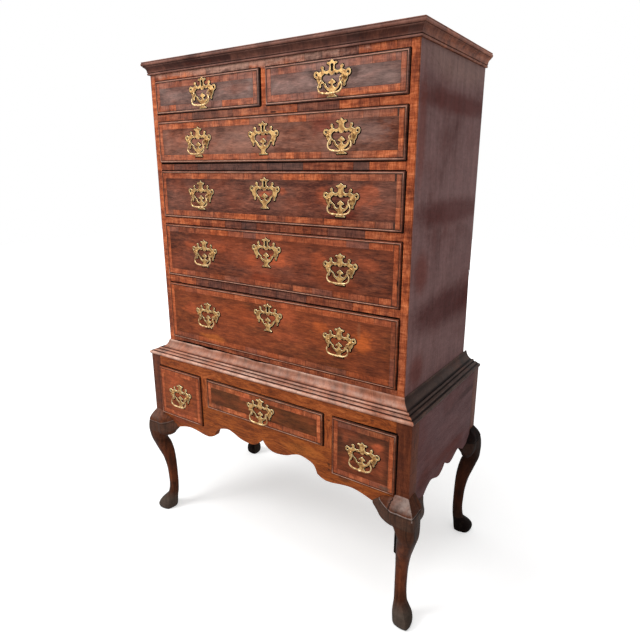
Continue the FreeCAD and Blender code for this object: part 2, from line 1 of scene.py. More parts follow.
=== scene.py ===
"""Dress a walnut chest on stand: cross-banded drawers, pierced brasses, mouldings and cabriole legs.

Sizes in the classes are millimetres in the part's own frame: X to the right, Y to the back, Z up, with
the origin on the floor midway between the four feet. Meshes are written in metres.
"""

from __future__ import annotations

import logging
import math
import random
import sys
from collections.abc import Callable, Sequence
from dataclasses import dataclass, field, replace
from enum import Enum

import bmesh
import bpy
from bpy.types import ID, Material, Mesh, Node, NodeInputs, NodeOutputs, NodeSocket, NodeTree, Object
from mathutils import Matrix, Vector, noise

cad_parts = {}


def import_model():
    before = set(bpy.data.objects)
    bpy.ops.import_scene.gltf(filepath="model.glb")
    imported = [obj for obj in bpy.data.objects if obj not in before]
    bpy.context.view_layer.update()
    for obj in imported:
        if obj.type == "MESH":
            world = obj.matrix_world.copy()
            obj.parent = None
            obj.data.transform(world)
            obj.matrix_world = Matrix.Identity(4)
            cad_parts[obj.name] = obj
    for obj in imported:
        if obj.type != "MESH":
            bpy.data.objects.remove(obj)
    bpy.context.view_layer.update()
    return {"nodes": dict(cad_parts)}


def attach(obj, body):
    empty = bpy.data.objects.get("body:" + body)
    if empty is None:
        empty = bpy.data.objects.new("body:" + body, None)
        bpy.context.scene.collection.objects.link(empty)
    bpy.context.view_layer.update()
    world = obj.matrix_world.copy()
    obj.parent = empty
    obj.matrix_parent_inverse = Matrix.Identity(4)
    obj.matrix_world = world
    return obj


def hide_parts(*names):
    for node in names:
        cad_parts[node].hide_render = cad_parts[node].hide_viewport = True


LOG = logging.getLogger("chest")
MM = 0.001
GRAIN_MAP = "grain"
LEAF_DATA = "leaf"
# Per corner: rub with painted highlight, grime with painted shade, and the leaf's kind.
WEAR_AND_LIGHT_DATA = "wear_and_light"
ORIGIN = (0.0, 0.0, 0.0)
# Numbers of a Mix node's sockets: factor, first, second and result.
MIX_SOCKETS = {"RGBA": (0, 6, 7, 2), "VECTOR": (0, 4, 5, 1)}
# Where the dark, middle and light colours of a wood stand on its figure.
FIGURE_STOPS = (0.2, 0.5, 0.8)

Point2 = tuple[float, float]
Point3 = tuple[float, float, float]
Colour = tuple[float, float, float]


# --- colours ------------------------------------------------------------------------------------
def shade(red: int, green: int, blue: int) -> Colour:
    """Turn a screen colour into the linear values that a shader takes.

    Args:
        red: Red, 0 to 255.
        green: Green, 0 to 255.
        blue: Blue, 0 to 255.

    Returns:
        The linear red, green and blue.
    """
    def linear(part: float) -> float:
        """Undo the screen's curve for one part."""
        return part / 12.92 if part <= 0.04045 else ((part + 0.055) / 1.055) ** 2.4

    return linear(red / 255), linear(green / 255), linear(blue / 255)


# --- node trees ---------------------------------------------------------------------------------
class Graph:
    """Short calls for building a node tree; a value or a socket may be given for any input."""

    def __init__(self, tree: NodeTree) -> None:
        """Keep the tree that the calls add to."""
        self.tree = tree

    def node(self, kind: str, inputs: dict[str | int, object] | None = None,
             **settings: object) -> Node:
        """Add a node.

        Args:
            kind: The node's type name.
            inputs: Values or sockets for its inputs, by name or number.
            **settings: Properties of the node.

        Returns:
            The new node.
        """
        made = self.tree.nodes.new(kind)
        for key, value in settings.items():
            setattr(made, key, value)
        for key, value in (inputs or {}).items():
            self.feed(made.inputs[key], value)
        return made

    def feed(self, socket: NodeSocket, value: object) -> None:
        """Link a socket, or store a value, in an input.

        Args:
            socket: The input.
            value: A socket, a number, a vector or a colour.
        """
        if isinstance(value, NodeSocket):
            self.tree.links.new(value, socket)
        elif isinstance(value, tuple) and len(value) == 3 and socket.type == "RGBA":
            socket.default_value = (*value, 1.0)
        else:
            socket.default_value = value

    def math(self, operation: str, *values: object, clamp: bool = False) -> NodeSocket:
        """A Math node's result."""
        made = self.node("ShaderNodeMath", dict(enumerate(values)), operation=operation, use_clamp=clamp)
        return made.outputs[0]

    def vector(self, operation: str, *values: object) -> NodeSocket:
        """A Vector Math node's result."""
        made = self.node("ShaderNodeVectorMath", dict(enumerate(values)), operation=operation)
        return made.outputs["Value" if operation in ("LENGTH", "DOT_PRODUCT", "DISTANCE") else "Vector"]

    def combine(self, x: object, y: object, z: object) -> NodeSocket:
        """A vector from its three parts."""
        return self.node("ShaderNodeCombineXYZ", {"X": x, "Y": y, "Z": z}).outputs[0]

    def mix(self, factor: object, first: object, second: object, kind: str = "RGBA") -> NodeSocket:
        """Blend two colours, or two vectors.

        Args:
            factor: How much of the second.
            first: Value at factor 0.
            second: Value at factor 1.
            kind: RGBA or VECTOR.

        Returns:
            The blended value.
        """
        made = self.node("ShaderNodeMix", data_type=kind)
        *inputs, result = MIX_SOCKETS[kind]
        for number, value in zip(inputs, (factor, first, second)):
            self.feed(made.inputs[number], value)
        return made.outputs[result]

    def span(self, value: object, low: object, high: object, out_low: float = 0.0, out_high: float = 1.0,
             smooth: bool = True) -> NodeSocket:
        """Spread a range of values to another range.

        Args:
            value: The value to spread.
            low: Start of its range.
            high: End of its range.
            out_low: Result at the start.
            out_high: Result at the end.
            smooth: Ease both ends.

        Returns:
            The spread value, clamped.
        """
        made = self.node("ShaderNodeMapRange", {0: value, 1: low, 2: high, 3: out_low, 4: out_high},
                         interpolation_type="SMOOTHSTEP" if smooth else "LINEAR")
        return made.outputs[0]

    def noise(self, vector: object, scale: object = 1.0, detail: float = 2.0, roughness: float = 0.5,
              distortion: float = 0.0, colour: bool = False) -> NodeSocket:
        """A noise texture's value, or its colour for a vector of three values.

        Args:
            vector: Where the noise is read.
            scale: Its scale.
            detail: Its finer layers.
            roughness: Weight of the finer layers.
            distortion: How far it is warped.
            colour: Give a vector of three values.

        Returns:
            The noise.
        """
        made = self.node("ShaderNodeTexNoise", {"Vector": vector, "Scale": scale, "Detail": detail,
                                                "Roughness": roughness, "Distortion": distortion})
        return made.outputs["Color" if colour else "Fac"]

    def ramp(self, value: object, stops: Sequence[tuple[float, Colour]]) -> NodeSocket:
        """A colour ramp.

        Args:
            value: Place on the ramp.
            stops: Position and colour of each stop.

        Returns:
            The colour.
        """
        made = self.node("ShaderNodeValToRGB", {0: value})
        elements = made.color_ramp.elements
        while len(elements) < len(stops):
            elements.new(0.5)
        for element, (position, colour) in zip(elements, stops):
            element.position, element.color = position, (*colour, 1.0)
        return made.outputs[0]


class SharedEffects:
    """Shader groups that several finishes place with their own values."""

    def __init__(self) -> None:
        """Build every group once."""
        self.figure = self._figure()
        self.blotch = self._blotch()
        self.spot = self._spot()
        self.border = self._border()

    @staticmethod
    def _group(name: str, inputs: dict[str, float | Point3],
               *outputs: str) -> tuple[Graph, NodeOutputs, NodeInputs]:
        """Start a group.

        Args:
            name: The group's name.
            inputs: Default of each input by name; one of three parts makes it a vector.
            *outputs: Name of each output.

        Returns:
            The group's graph, the given values and the places for its results.
        """
        tree = bpy.data.node_groups.new(name, "ShaderNodeTree")
        for label, default in inputs.items():
            kind = "NodeSocketVector" if isinstance(default, tuple) else "NodeSocketFloat"
            tree.interface.new_socket(label, in_out="INPUT", socket_type=kind).default_value = default
        for label in outputs:
            tree.interface.new_socket(label, in_out="OUTPUT", socket_type="NodeSocketFloat")
        graph = Graph(tree)
        return graph, graph.node("NodeGroupInput").outputs, graph.node("NodeGroupOutput").inputs

    def _figure(self) -> NodeTree:
        """Wood figure with the grain along X: streaks, growth rings, fibres and pores, 0 to 1 each.

        Returns:
            The group.
        """
        graph, given, results = self._group("Wood figure", {
            "Vector": ORIGIN, "Seed": 0.0, "Curl": 0.004, "Ring spacing": 0.006, "Streak width": 0.012},
            "Streak", "Ring", "Fibre", "Pore")
        offset = graph.combine(graph.math("MULTIPLY", given["Seed"], 3.71), 0.0,
                               graph.math("MULTIPLY", given["Seed"], 7.13))
        place = graph.vector("ADD", given["Vector"], offset)
        drift = graph.noise(graph.vector("MULTIPLY", place, (7.0, 13.0, 13.0)), detail=2.0, colour=True)
        drift = graph.vector("SUBTRACT", drift, (0.5, 0.5, 0.5))
        drift = graph.vector("SCALE", drift)
        graph.feed(drift.node.inputs["Scale"], given["Curl"])
        bent = graph.vector("ADD", place, graph.vector("MULTIPLY", drift, (0.0, 6.0, 6.0)))
        across = graph.math("DIVIDE", 1.0, given["Streak width"])
        streak_place = graph.vector("MULTIPLY", bent, graph.combine(graph.math("MULTIPLY", across, 0.09),
                                                                    across, across))
        streak = graph.noise(streak_place, detail=3.0, roughness=0.6, distortion=0.4)
        slow = graph.noise(graph.vector("MULTIPLY", bent, (1.7, 15.0, 15.0)), detail=1.0)
        turns = graph.math("DIVIDE", 0.35, given["Ring spacing"])
        ring = graph.math("SINE", graph.math("MULTIPLY", slow, turns))
        fibre = graph.noise(graph.vector("MULTIPLY", bent, (55.0, 950.0, 950.0)), detail=3.0, roughness=0.65)
        pores = graph.noise(graph.vector("MULTIPLY", bent, (110.0, 1500.0, 1500.0)), detail=1.0)
        for label, value, low, high in (("Streak", streak, 0.34, 0.66), ("Ring", ring, -1.0, 1.0),
                                        ("Fibre", fibre, 0.3, 0.7), ("Pore", pores, 0.6, 0.72)):
            graph.feed(results[label], graph.span(value, low, high))
        return graph.tree

    def _blotch(self) -> NodeTree:
        """Ragged patches as a mask from 0 to 1.

        Returns:
            The group.
        """
        graph, given, results = self._group("Blotch", {
            "Vector": ORIGIN, "Size": 0.1, "Seed": 0.0, "Cover": 0.5, "Softness": 0.1}, "Mask")
        scaled = graph.vector("SCALE", given["Vector"])
        graph.feed(scaled.node.inputs["Scale"], graph.math("DIVIDE", 1.0, given["Size"]))
        moved = graph.vector("ADD", scaled, graph.combine(given["Seed"], 0.0, 5.5))
        value = graph.noise(moved, detail=4.0, roughness=0.62, distortion=0.3)
        middle = graph.math("MULTIPLY_ADD", given["Cover"], -0.5, 0.75)
        graph.feed(results["Mask"], graph.span(value, graph.math("SUBTRACT", middle, given["Softness"]),
                                               graph.math("ADD", middle, given["Softness"])))
        return graph.tree

    def _spot(self) -> NodeTree:
        """One oval patch with a ragged rim, 1 inside and 0 outside.

        Returns:
            The group.
        """
        graph, given, results = self._group("Spot", {
            "Vector": ORIGIN, "Centre": ORIGIN, "Radii": (0.1, 0.1, 0.1), "Ragged": 0.6}, "Mask")
        away = graph.vector("SUBTRACT", given["Vector"], given["Centre"])
        distance = graph.vector("LENGTH", graph.vector("DIVIDE", away, given["Radii"]))
        rim = graph.noise(graph.vector("MULTIPLY", given["Vector"], (38.0, 38.0, 70.0)), detail=4.0,
                          roughness=0.65)
        reach = graph.math("MULTIPLY_ADD", graph.math("SUBTRACT", rim, 0.5),
                           graph.math("MULTIPLY", given["Ragged"], 3.0), distance)
        graph.feed(results["Mask"], graph.span(reach, 0.35, 1.15, 1.0, 0.0))
        return graph.tree

    def _border(self) -> NodeTree:
        """1 at the edge of an upright panel, falling to 0 at a width inside it.

        Returns:
            The group.
        """
        graph, given, results = self._group("Border", {
            "Vector": ORIGIN, "Centre": ORIGIN, "Half": ORIGIN, "Width": 0.01}, "Mask")
        away = graph.vector("ABSOLUTE", graph.vector("SUBTRACT", given["Vector"], given["Centre"]))
        inside = graph.node("ShaderNodeSeparateXYZ", {0: graph.vector("SUBTRACT", given["Half"], away)})
        depth = graph.math("MINIMUM", inside.outputs[0], inside.outputs[2])
        ragged = graph.math("SUBTRACT", graph.noise(given["Vector"], 45.0, 4.0, 0.65), 0.5)
        depth = graph.math("MULTIPLY_ADD", ragged, graph.math("MULTIPLY", given["Width"], 1.6), depth)
        share = graph.math("DIVIDE", depth, given["Width"])
        graph.feed(results["Mask"], graph.span(share, 0.0, 1.0, 1.0, 0.0))
        return graph.tree


# --- finishes -----------------------------------------------------------------------------------
class Grain(Enum):
    """Which way the grain of a piece runs, and where that is read."""

    MAP = "map"
    X = "x"
    Y = "y"
    Z = "z"
    BOARDS = "boards"


@dataclass(frozen=True)
class ColourPatch:
    """A patch of colour at one place of a surface, in millimetres: stains and worn places, and also painted
    sheen and painted shade.
    """

    centre: Point3
    radii: Point3
    colour: Colour
    strength: float = 0.7
    ragged: float = 0.6


# A patch reaches this far through the surface, from a middle on the front or on the side.
PATCH_DEPTH, FRONT_MIDDLE, SIDE_MIDDLE = 300.0, -250.0, 500.0


def on_front(x: float, z: float, wide: float, high: float, colour: Colour, strength: float = 0.7) -> ColourPatch:
    """A patch on the front, by its middle and its half sizes."""
    return ColourPatch((x, FRONT_MIDDLE, z), (wide, PATCH_DEPTH, high), colour, strength)


def on_side(y: float, z: float, deep: float, high: float, colour: Colour, strength: float = 0.6) -> ColourPatch:
    """A patch on the right-hand side, by its middle and its half sizes."""
    return ColourPatch((SIDE_MIDDLE, y, z), (PATCH_DEPTH, deep, high), colour, strength, ragged=0.15)


def blank_material(name: str) -> tuple[Material, Graph]:
    """A new material with an empty tree.

    Args:
        name: Its name.

    Returns:
        The material and its graph.
    """
    made = bpy.data.materials.new(name)
    made.use_nodes = True
    made.node_tree.nodes.clear()
    return made, Graph(made.node_tree)


def attribute_parts(graph: Graph, name: str) -> bpy.types.bpy_prop_collection:
    """The three parts of a colour attribute."""
    read = graph.node("ShaderNodeAttribute", attribute_name=name)
    return graph.node("ShaderNodeSeparateColor", {0: read.outputs["Color"]}).outputs


def effect(graph: Graph, group: NodeTree, inputs: dict[str, object]) -> Node:
    """A shared group in this tree, fed with a finish's values.

    Args:
        graph: The tree that it is added to.
        group: The shared group.
        inputs: Its values or sockets by name.

    Returns:
        The group's node.
    """
    made = graph.tree.nodes.new("ShaderNodeGroup")
    made.node_tree = group
    for key, value in inputs.items():
        graph.feed(made.inputs[key], value)
    return made


@dataclass(frozen=True)
class WoodFinish:
    """A wood, its polish and its wear."""

    name: str
    dark: Colour
    middle: Colour
    light: Colour
    grain: Grain = Grain.MAP
    leaf_colours: tuple[Colour, Colour, Colour] = (
        shade(106, 43, 25), shade(182, 90, 50), shade(232, 138, 88))
    figure: tuple[float, float, float, float, float] = (0.12, 0.0, 0.24, 0.45, 1.2)
    worn: Colour = shade(164, 76, 42)
    worn_cover: float = 0.35
    worn_size: float = 0.11
    worn_amount: float = 0.45
    # Grey patches of old polish bloom, and a painted sheen: a painted reflection on the gloss.
    bloom: Colour = shade(126, 108, 104)
    bloom_amount: float = 0.0
    bloom_cover: float = 0.5
    bloom_size: float = 0.16
    # Colour of rubbed wear, also used for painted highlights on edges, crests and facets.
    rub_and_highlight: Colour = shade(210, 158, 134)
    # Colour of dirt in pores and hollows, also used for painted shade in recesses and under parts.
    grime_and_shade: Colour = shade(18, 10, 8)
    curl: float = 0.003
    ring_spacing: float = 0.006
    streak_width: float = 0.0028
    roughness: float = 0.42
    roughness_spread: float = 0.14
    specular: float = 0.08
    relief: float = 0.25
    pore_depth: float = 0.4
    seed: float = 0.0
    reads_leaves: bool = False
    panel: tuple[float, float, float, float] | None = None
    border: float = 0.32
    # Painted shade on faces that turn away from the view.
    grazing_shade: float = 0.0
    margins: Point2 = (22.0, 25.0)
    stains_and_light: tuple[ColourPatch, ...] = ()

    def material(self, effects: SharedEffects) -> Material:
        """Build the shader.

        Args:
            effects: The shared shader groups.

        Returns:
            The finished material.
        """
        made, graph = blank_material(self.name)
        place = graph.node("ShaderNodeTexCoord").outputs["Object"]
        along = self._along(graph, place)
        leaf = attribute_parts(graph, LEAF_DATA)
        wear_and_light = attribute_parts(graph, WEAR_AND_LIGHT_DATA)
        seed = graph.math("ADD", leaf[2], self.seed) if self.reads_leaves else self.seed
        figure = effect(graph, effects.figure, {
            "Vector": along, "Seed": seed, "Curl": self.curl, "Ring spacing": self.ring_spacing,
            "Streak width": self.streak_width}).outputs
        mottle = graph.noise(graph.vector("MULTIPLY", along, (16.0, 34.0, 34.0)), 1.0, 4.0, 0.6)
        cloud = graph.noise(graph.vector("MULTIPLY", place, (0.6, 0.9, 3.4)), 34.0, 6.0, 0.74)
        value: object = 0.5
        parts = (figure["Streak"], figure["Ring"], figure["Fibre"], mottle, cloud)
        for part, share in zip(parts, self.figure):
            value = graph.math("MULTIPLY_ADD", graph.math("SUBTRACT", part, 0.5), share, value)
        colour = graph.ramp(value, list(zip(FIGURE_STOPS, (self.dark, self.middle, self.light))))
        if self.reads_leaves:
            tone = graph.math("MULTIPLY", leaf[0], graph.span(mottle, 0.3, 0.62, 0.45, 1.15), clamp=True)
            lights = graph.ramp(value, list(zip(FIGURE_STOPS, self.leaf_colours)))
            colour = graph.mix(tone, colour, lights)
        colour = self._patches(graph, effects, place, value, colour, leaf, wear_and_light)
        colour = graph.mix(graph.math("MULTIPLY", figure["Pore"], self.pore_depth), colour, self.grime_and_shade)
        # Rubbed wear with painted highlights, then dirt with painted shade, from the corners' values.
        patchy = graph.span(graph.noise(place, 70.0, 4.0, 0.65), 0.3, 0.6, 0.5, 1.0)
        colour = graph.mix(graph.math("MULTIPLY", wear_and_light[0], patchy), colour, self.rub_and_highlight)
        patchy = graph.span(graph.noise(place, 60.0, 3.0, 0.6), 0.15, 0.5, 0.7, 1.0)
        colour = graph.mix(graph.math("MULTIPLY", wear_and_light[1], patchy), colour, self.grime_and_shade)
        # Painted shade: faces seen edge-on are darkened towards the dirt colour.
        if self.grazing_shade:
            facing = graph.node("ShaderNodeLayerWeight", {"Blend": 0.5}).outputs["Facing"]
            colour = graph.mix(graph.span(facing, 0.4, 0.95, 0.0, self.grazing_shade), colour, self.grime_and_shade)
        rough = graph.math("MULTIPLY_ADD", graph.noise(place, 23.0, 4.0, 0.6), self.roughness_spread,
                           self.roughness - self.roughness_spread / 2)
        rough = graph.math("MULTIPLY_ADD", wear_and_light[1], 0.3, rough, clamp=True)
        height = graph.math("MULTIPLY_ADD", figure["Pore"], -0.8,
                            graph.math("MULTIPLY", figure["Fibre"], 0.35))
        height = graph.math("MULTIPLY_ADD", graph.noise(place, 14.0, 3.0), 6.0, height)
        normal = graph.node("ShaderNodeBump", {"Height": height, "Strength": self.relief,
                                               "Distance": 0.0003}).outputs[0]
        shader = graph.node("ShaderNodeBsdfPrincipled", {
            "Base Color": colour, "Roughness": rough, "Normal": normal, "IOR": 1.5,
            "Specular IOR Level": self.specular})
        graph.node("ShaderNodeOutputMaterial", {"Surface": shader.outputs[0]})
        return made

    def _patches(self, graph: Graph, effects: SharedEffects, place: NodeSocket,
                 value: NodeSocket, colour: NodeSocket,
                 leaf: Sequence[NodeSocket],
                 wear_and_light: Sequence[NodeSocket]) -> NodeSocket:
        """Wear, grey bloom with painted sheen, dark borders, and stains with painted shade and sheen over the
        colour of the wood.

        Args:
            graph: The material's tree.
            effects: The shared shader groups.
            place: The place on the surface.
            value: The figure of the wood.
            colour: The colour so far.
            leaf: Tone, grey and random value of the leaf.
            wear_and_light: Rub with painted highlight, grime with painted shade, and kind of the leaf.

        Returns:
            The colour with the patches.
        """
        stretched = graph.vector("MULTIPLY", place, (0.6, 0.8, 1.25))
        worn = effect(graph, effects.blotch, {
            "Vector": stretched, "Size": self.worn_size, "Seed": self.seed + 2.0, "Cover": self.worn_cover,
            "Softness": 0.14})
        colour = graph.mix(graph.math("MULTIPLY", worn.outputs[0], self.worn_amount), colour,
                           self._tinted(graph, self.worn, value))
        # Grey bloom and painted sheen, stronger on grey leaves and weaker on light ones.
        bloom = effect(graph, effects.blotch, {
            "Vector": stretched, "Size": self.bloom_size, "Seed": self.seed + 9.0,
            "Cover": self.bloom_cover, "Softness": 0.2})
        grey_sheen = graph.math("MULTIPLY", bloom.outputs[0], self.bloom_amount)
        if self.reads_leaves:
            kept = graph.math("MULTIPLY_ADD", leaf[0], -0.65, 1.0)
            grey_sheen = graph.math("MULTIPLY_ADD", leaf[1], 0.75, graph.math("MULTIPLY", grey_sheen, kept), clamp=True)
        colour = graph.mix(grey_sheen, colour, self._tinted(graph, self.bloom, value))
        for patch in self.stains_and_light:
            spot = effect(graph, effects.spot, {
                "Vector": place, "Centre": tuple(v * MM for v in patch.centre),
                "Radii": tuple(v * MM for v in patch.radii), "Ragged": patch.ragged})
            colour = graph.mix(graph.math("MULTIPLY", spot.outputs[0], patch.strength), colour,
                               self._tinted(graph, patch.colour, value))
        if self.panel:
            left, right, bottom, top = self.panel
            # The field's own dark border, then a thin dark line where the banding meets the lip.
            for inset, width, kind, strength in ((self.margins, 24.0, 0.9, self.border),
                                                 ((7.0, 7.0), 4.0, 0.3, 0.5)):
                half = ((right - left) / 2 - inset[0], (top - bottom) / 2 - inset[1])
                border = effect(graph, effects.border, {
                    "Vector": place, "Width": width * MM,
                    "Centre": ((left + right) / 2 * MM, 0.0, (bottom + top) / 2 * MM),
                    "Half": (half[0] * MM, 1.0, half[1] * MM)})
                share = graph.math("MULTIPLY", graph.math("GREATER_THAN", wear_and_light[2], kind), strength)
                colour = graph.mix(graph.math("MULTIPLY", border.outputs[0], share), colour,
                                   tuple(part * 0.35 for part in self.dark))
        return colour

    def _along(self, graph: Graph, place: NodeSocket) -> NodeSocket:
        """The place on the surface with X along the grain.

        Args:
            graph: The tree that it is added to.
            place: The place on the surface.

        Returns:
            The turned place.
        """
        if self.grain is Grain.MAP:
            return graph.node("ShaderNodeUVMap", uv_map=GRAIN_MAP).outputs[0]
        parts = graph.node("ShaderNodeSeparateXYZ", {0: place}).outputs
        orders = {Grain.X: (0, 1, 2), Grain.Y: (1, 0, 2), Grain.Z: (2, 1, 0)}
        if self.grain is not Grain.BOARDS:
            return graph.combine(*(parts[n] for n in orders[self.grain]))
        facing = graph.node("ShaderNodeNewGeometry").outputs["Normal"]
        normal = graph.node("ShaderNodeSeparateXYZ", {0: facing}).outputs
        sideways = graph.math("GREATER_THAN", graph.math("ABSOLUTE", normal[0]), 0.5)
        flat_x = graph.combine(parts[0], parts[1], parts[2])
        flat_y = graph.combine(parts[1], parts[0], parts[2])
        return graph.mix(sideways, flat_x, flat_y, "VECTOR")

    @staticmethod
    def _tinted(graph: Graph, colour: Colour, value: NodeSocket) -> NodeSocket:
        """A patch colour that keeps the figure of the wood under it.

        Args:
            graph: The tree that it is added to.
            colour: The patch's colour.
            value: The figure of the wood.

        Returns:
            The figured colour.
        """
        low = tuple(part * 0.55 for part in colour)
        high = tuple(min(1.0, part * 1.35) for part in colour)
        return graph.ramp(value, [(FIGURE_STOPS[0], low), (FIGURE_STOPS[-1], high)])


@dataclass(frozen=True)
class MetalFinish:
    """An old metal: bright and dull in patches, with rubbed edges that also carry a painted highlight, and
    dark dirt that also paints shade in its hollows.
    """

    name: str
    bright: Colour
    dull: Colour
    grime_and_shade: Colour
    roughness: float
    metallic: float = 1.0
    cover: float = 0.5
    # Colour of rubbed edges: worn bright, and a painted highlight.
    rub_and_highlight: Colour = shade(244, 228, 180)

    def material(self, effects: SharedEffects) -> Material:
        """Build the shader.

        Args:
            effects: The shared shader groups.

        Returns:
            The finished material.
        """
        made, graph = blank_material(self.name)
        place = graph.node("ShaderNodeTexCoord").outputs["Object"]
        patches = effect(graph, effects.blotch, {
            "Vector": place, "Size": 0.009, "Seed": 4.0, "Cover": self.cover, "Softness": 0.08})
        colour = graph.mix(patches.outputs[0], self.bright, self.dull)
        fine = graph.noise(place, 900.0, 3.0, 0.7)
        colour = graph.mix(graph.span(fine, 0.55, 0.75, 0.0, 0.55), colour, self.grime_and_shade)
        wear_and_light = attribute_parts(graph, WEAR_AND_LIGHT_DATA)
        # Rubbed edges with a painted highlight, then dirt with painted shade on the sawn walls.
        colour = graph.mix(wear_and_light[0], colour, self.rub_and_highlight)
        colour = graph.mix(wear_and_light[1], colour, self.grime_and_shade)
        rough = graph.math("MULTIPLY_ADD", graph.noise(place, 300.0, 3.0), 0.3, self.roughness - 0.1)
        height = graph.math("MULTIPLY_ADD", graph.noise(place, 420.0, 2.0), 1.0,
                            graph.math("MULTIPLY", fine, 0.3))
        normal = graph.node("ShaderNodeBump", {"Height": height, "Strength": 0.35, "Distance": 0.0004})
        shader = graph.node("ShaderNodeBsdfPrincipled", {
            "Base Color": colour, "Roughness": rough, "Normal": normal.outputs[0],
            "Metallic": self.metallic})
        graph.node("ShaderNodeOutputMaterial", {"Surface": shader.outputs[0]})
        return made


FIELD = WoodFinish(
    "Drawer veneer", dark=shade(38, 18, 15), middle=shade(94, 49, 38), light=shade(150, 88, 66),
    reads_leaves=True)
RAIL = replace(FIELD, name="Cross banding of the frame", worn_amount=0.2, bloom=shade(84, 74, 70), seed=3.0,
               worn_size=0.05)
# The side's bloom is mostly painted sheen; its wide patches at z 1590, 1484, 1195 and 908 are painted
# reflection bands, light at the top and dark below it, and the red ones near the front are the wood's colour.
SIDE = WoodFinish(
    "Upper side veneer", dark=shade(50, 20, 17), middle=shade(86, 46, 42), light=shade(116, 68, 62),
    grain=Grain.Z, figure=(0.12, 0.0, 0.2, 0.2, 0.4), streak_width=0.02, ring_spacing=0.012,
    worn=shade(112, 48, 36), worn_size=0.2, worn_amount=0.4, bloom=shade(144, 112, 110),
    bloom_amount=0.75, bloom_cover=0.7, bloom_size=0.3, roughness=0.34, specular=0.008, curl=0.004, stains_and_light=(
        on_side(40, 1590, 330, 70, shade(156, 126, 116), 0.5),
        on_side(60, 1484, 360, 36, shade(88, 34, 28), 0.75),
        on_side(60, 1195, 360, 46, shade(86, 36, 32), 0.7), on_side(60, 908, 330, 70, shade(78, 32, 29), 0.7),
        on_side(-150, 1040, 60, 70, shade(112, 50, 38)),
        on_side(-190, 1400, 30, 160, shade(112, 50, 38), 0.5),
        on_side(-150, 760, 60, 60, shade(104, 46, 36))))
# Its bloom is mostly painted sheen.
STAND_SIDE = replace(
    SIDE, name="Stand side walnut", grain=Grain.Y, seed=2.0, bloom=shade(120, 94, 96), bloom_amount=0.6,
    stains_and_light=(on_side(-170, 440, 60, 40, shade(92, 42, 34)), on_side(20, 450, 160, 20, shade(98, 46, 38)),
            on_side(160, 600, 90, 14, shade(54, 32, 30))))
STAND_BOARD = WoodFinish(
    "Stand front walnut", dark=shade(76, 34, 12), middle=shade(140, 68, 26), light=shade(184, 100, 42),
    grain=Grain.X, figure=(0.2, 0.12, 0.3, 0.4, 0.4), streak_width=0.005, worn=shade(120, 56, 28),
    worn_amount=0.4, worn_size=0.07, curl=0.008, seed=5.0, reads_leaves=True, stains_and_light=(
        on_front(160, 468, 90, 30, shade(170, 96, 40), 0.5),
        on_front(262, 597, 6, 4, shade(40, 20, 12)), on_front(262, 450, 5, 7, shade(44, 22, 12)),
        on_front(262, 434, 5, 4, shade(44, 22, 12)), on_front(405, 637, 9, 4, shade(40, 20, 14)),
        on_front(318, 418, 26, 10, shade(70, 36, 20)), on_front(-390, 415, 60, 14, shade(128, 56, 34))))
# Its rub colour is mostly a painted sheen on the cavetto and rounds.
MOULDING = WoodFinish(
    "Moulding walnut", dark=shade(22, 14, 11), middle=shade(48, 31, 25), light=shade(78, 52, 42),
    reads_leaves=True, leaf_colours=(shade(102, 50, 33), shade(166, 95, 66), shade(216, 144, 110)),
    figure=(0.06, 0.0, 0.14, 0.35, 0.8), worn=shade(140, 76, 54), worn_cover=0.3, worn_size=0.06,
    worn_amount=0.3, roughness=0.3, roughness_spread=0.12, specular=0.07, rub_and_highlight=shade(226, 184, 164), seed=7.0)
# Its rub colour is mostly a painted sheen on the returns.
CORNICE = replace(MOULDING, name="Cornice walnut", dark=shade(28, 13, 10), middle=shade(58, 27, 21),
                  light=shade(88, 44, 33), worn_amount=0.2, roughness=0.45, specular=0.09,
                  rub_and_highlight=shade(166, 116, 100))
# Its rub colour paints the highlights on the knee; its edge shade darkens faces turned from the view.
LEG = WoodFinish(
    "Leg walnut", dark=shade(26, 15, 9), middle=shade(60, 33, 20), light=shade(90, 52, 32),
    grain=Grain.Z, reads_leaves=True,
    leaf_colours=(shade(60, 27, 12), shade(102, 47, 22), shade(138, 74, 40)),
    figure=(0.1, 0.1, 0.2, 0.35, 0.5), worn=shade(104, 52, 32), worn_cover=0.3, worn_size=0.05,
    worn_amount=0.35, bloom=shade(84, 74, 66), bloom_amount=0.1, bloom_size=0.1, streak_width=0.008,
    roughness=0.32, specular=0.035, seed=11.0, rub_and_highlight=shade(200, 180, 170), grazing_shade=0.8)
POST = replace(LEG, name="Corner post walnut", grazing_shade=0.0, dark=shade(44, 19, 11),
               middle=shade(88, 42, 24), light=shade(122, 64, 38), bloom_amount=0.0, specular=0.08,
               roughness=0.42)
OAK = WoodFinish(
    "Aged oak", dark=shade(92, 64, 38), middle=shade(138, 102, 64), light=shade(170, 132, 88),
    grain=Grain.BOARDS, figure=(0.28, 0.04, 0.4, 0.12, 0.15), worn=shade(108, 78, 48), streak_width=0.006,
    roughness=0.72, roughness_spread=0.1, specular=0.3, relief=0.6, pore_depth=0.6, grime_and_shade=shade(48, 34, 24),
    seed=13.0)
GROUND = replace(OAK, name="Ground of the drawer fronts", dark=shade(34, 18, 12), middle=shade(52, 28, 18),
                 light=shade(80, 46, 30), grain=Grain.X, seed=15.0)
PINE = WoodFinish(
    "Back boards", dark=shade(80, 54, 34), middle=shade(118, 82, 52), light=shade(146, 108, 72),
    grain=Grain.Z, figure=(0.3, 0.08, 0.3, 0.1, 0.2), worn=shade(86, 62, 42), worn_cover=0.5, worn_size=0.15,
    bloom=shade(122, 110, 94), bloom_amount=0.35, streak_width=0.014, ring_spacing=0.009,
    roughness=0.8, roughness_spread=0.1, specular=0.25, relief=0.7, pore_depth=0.3, seed=17.0)
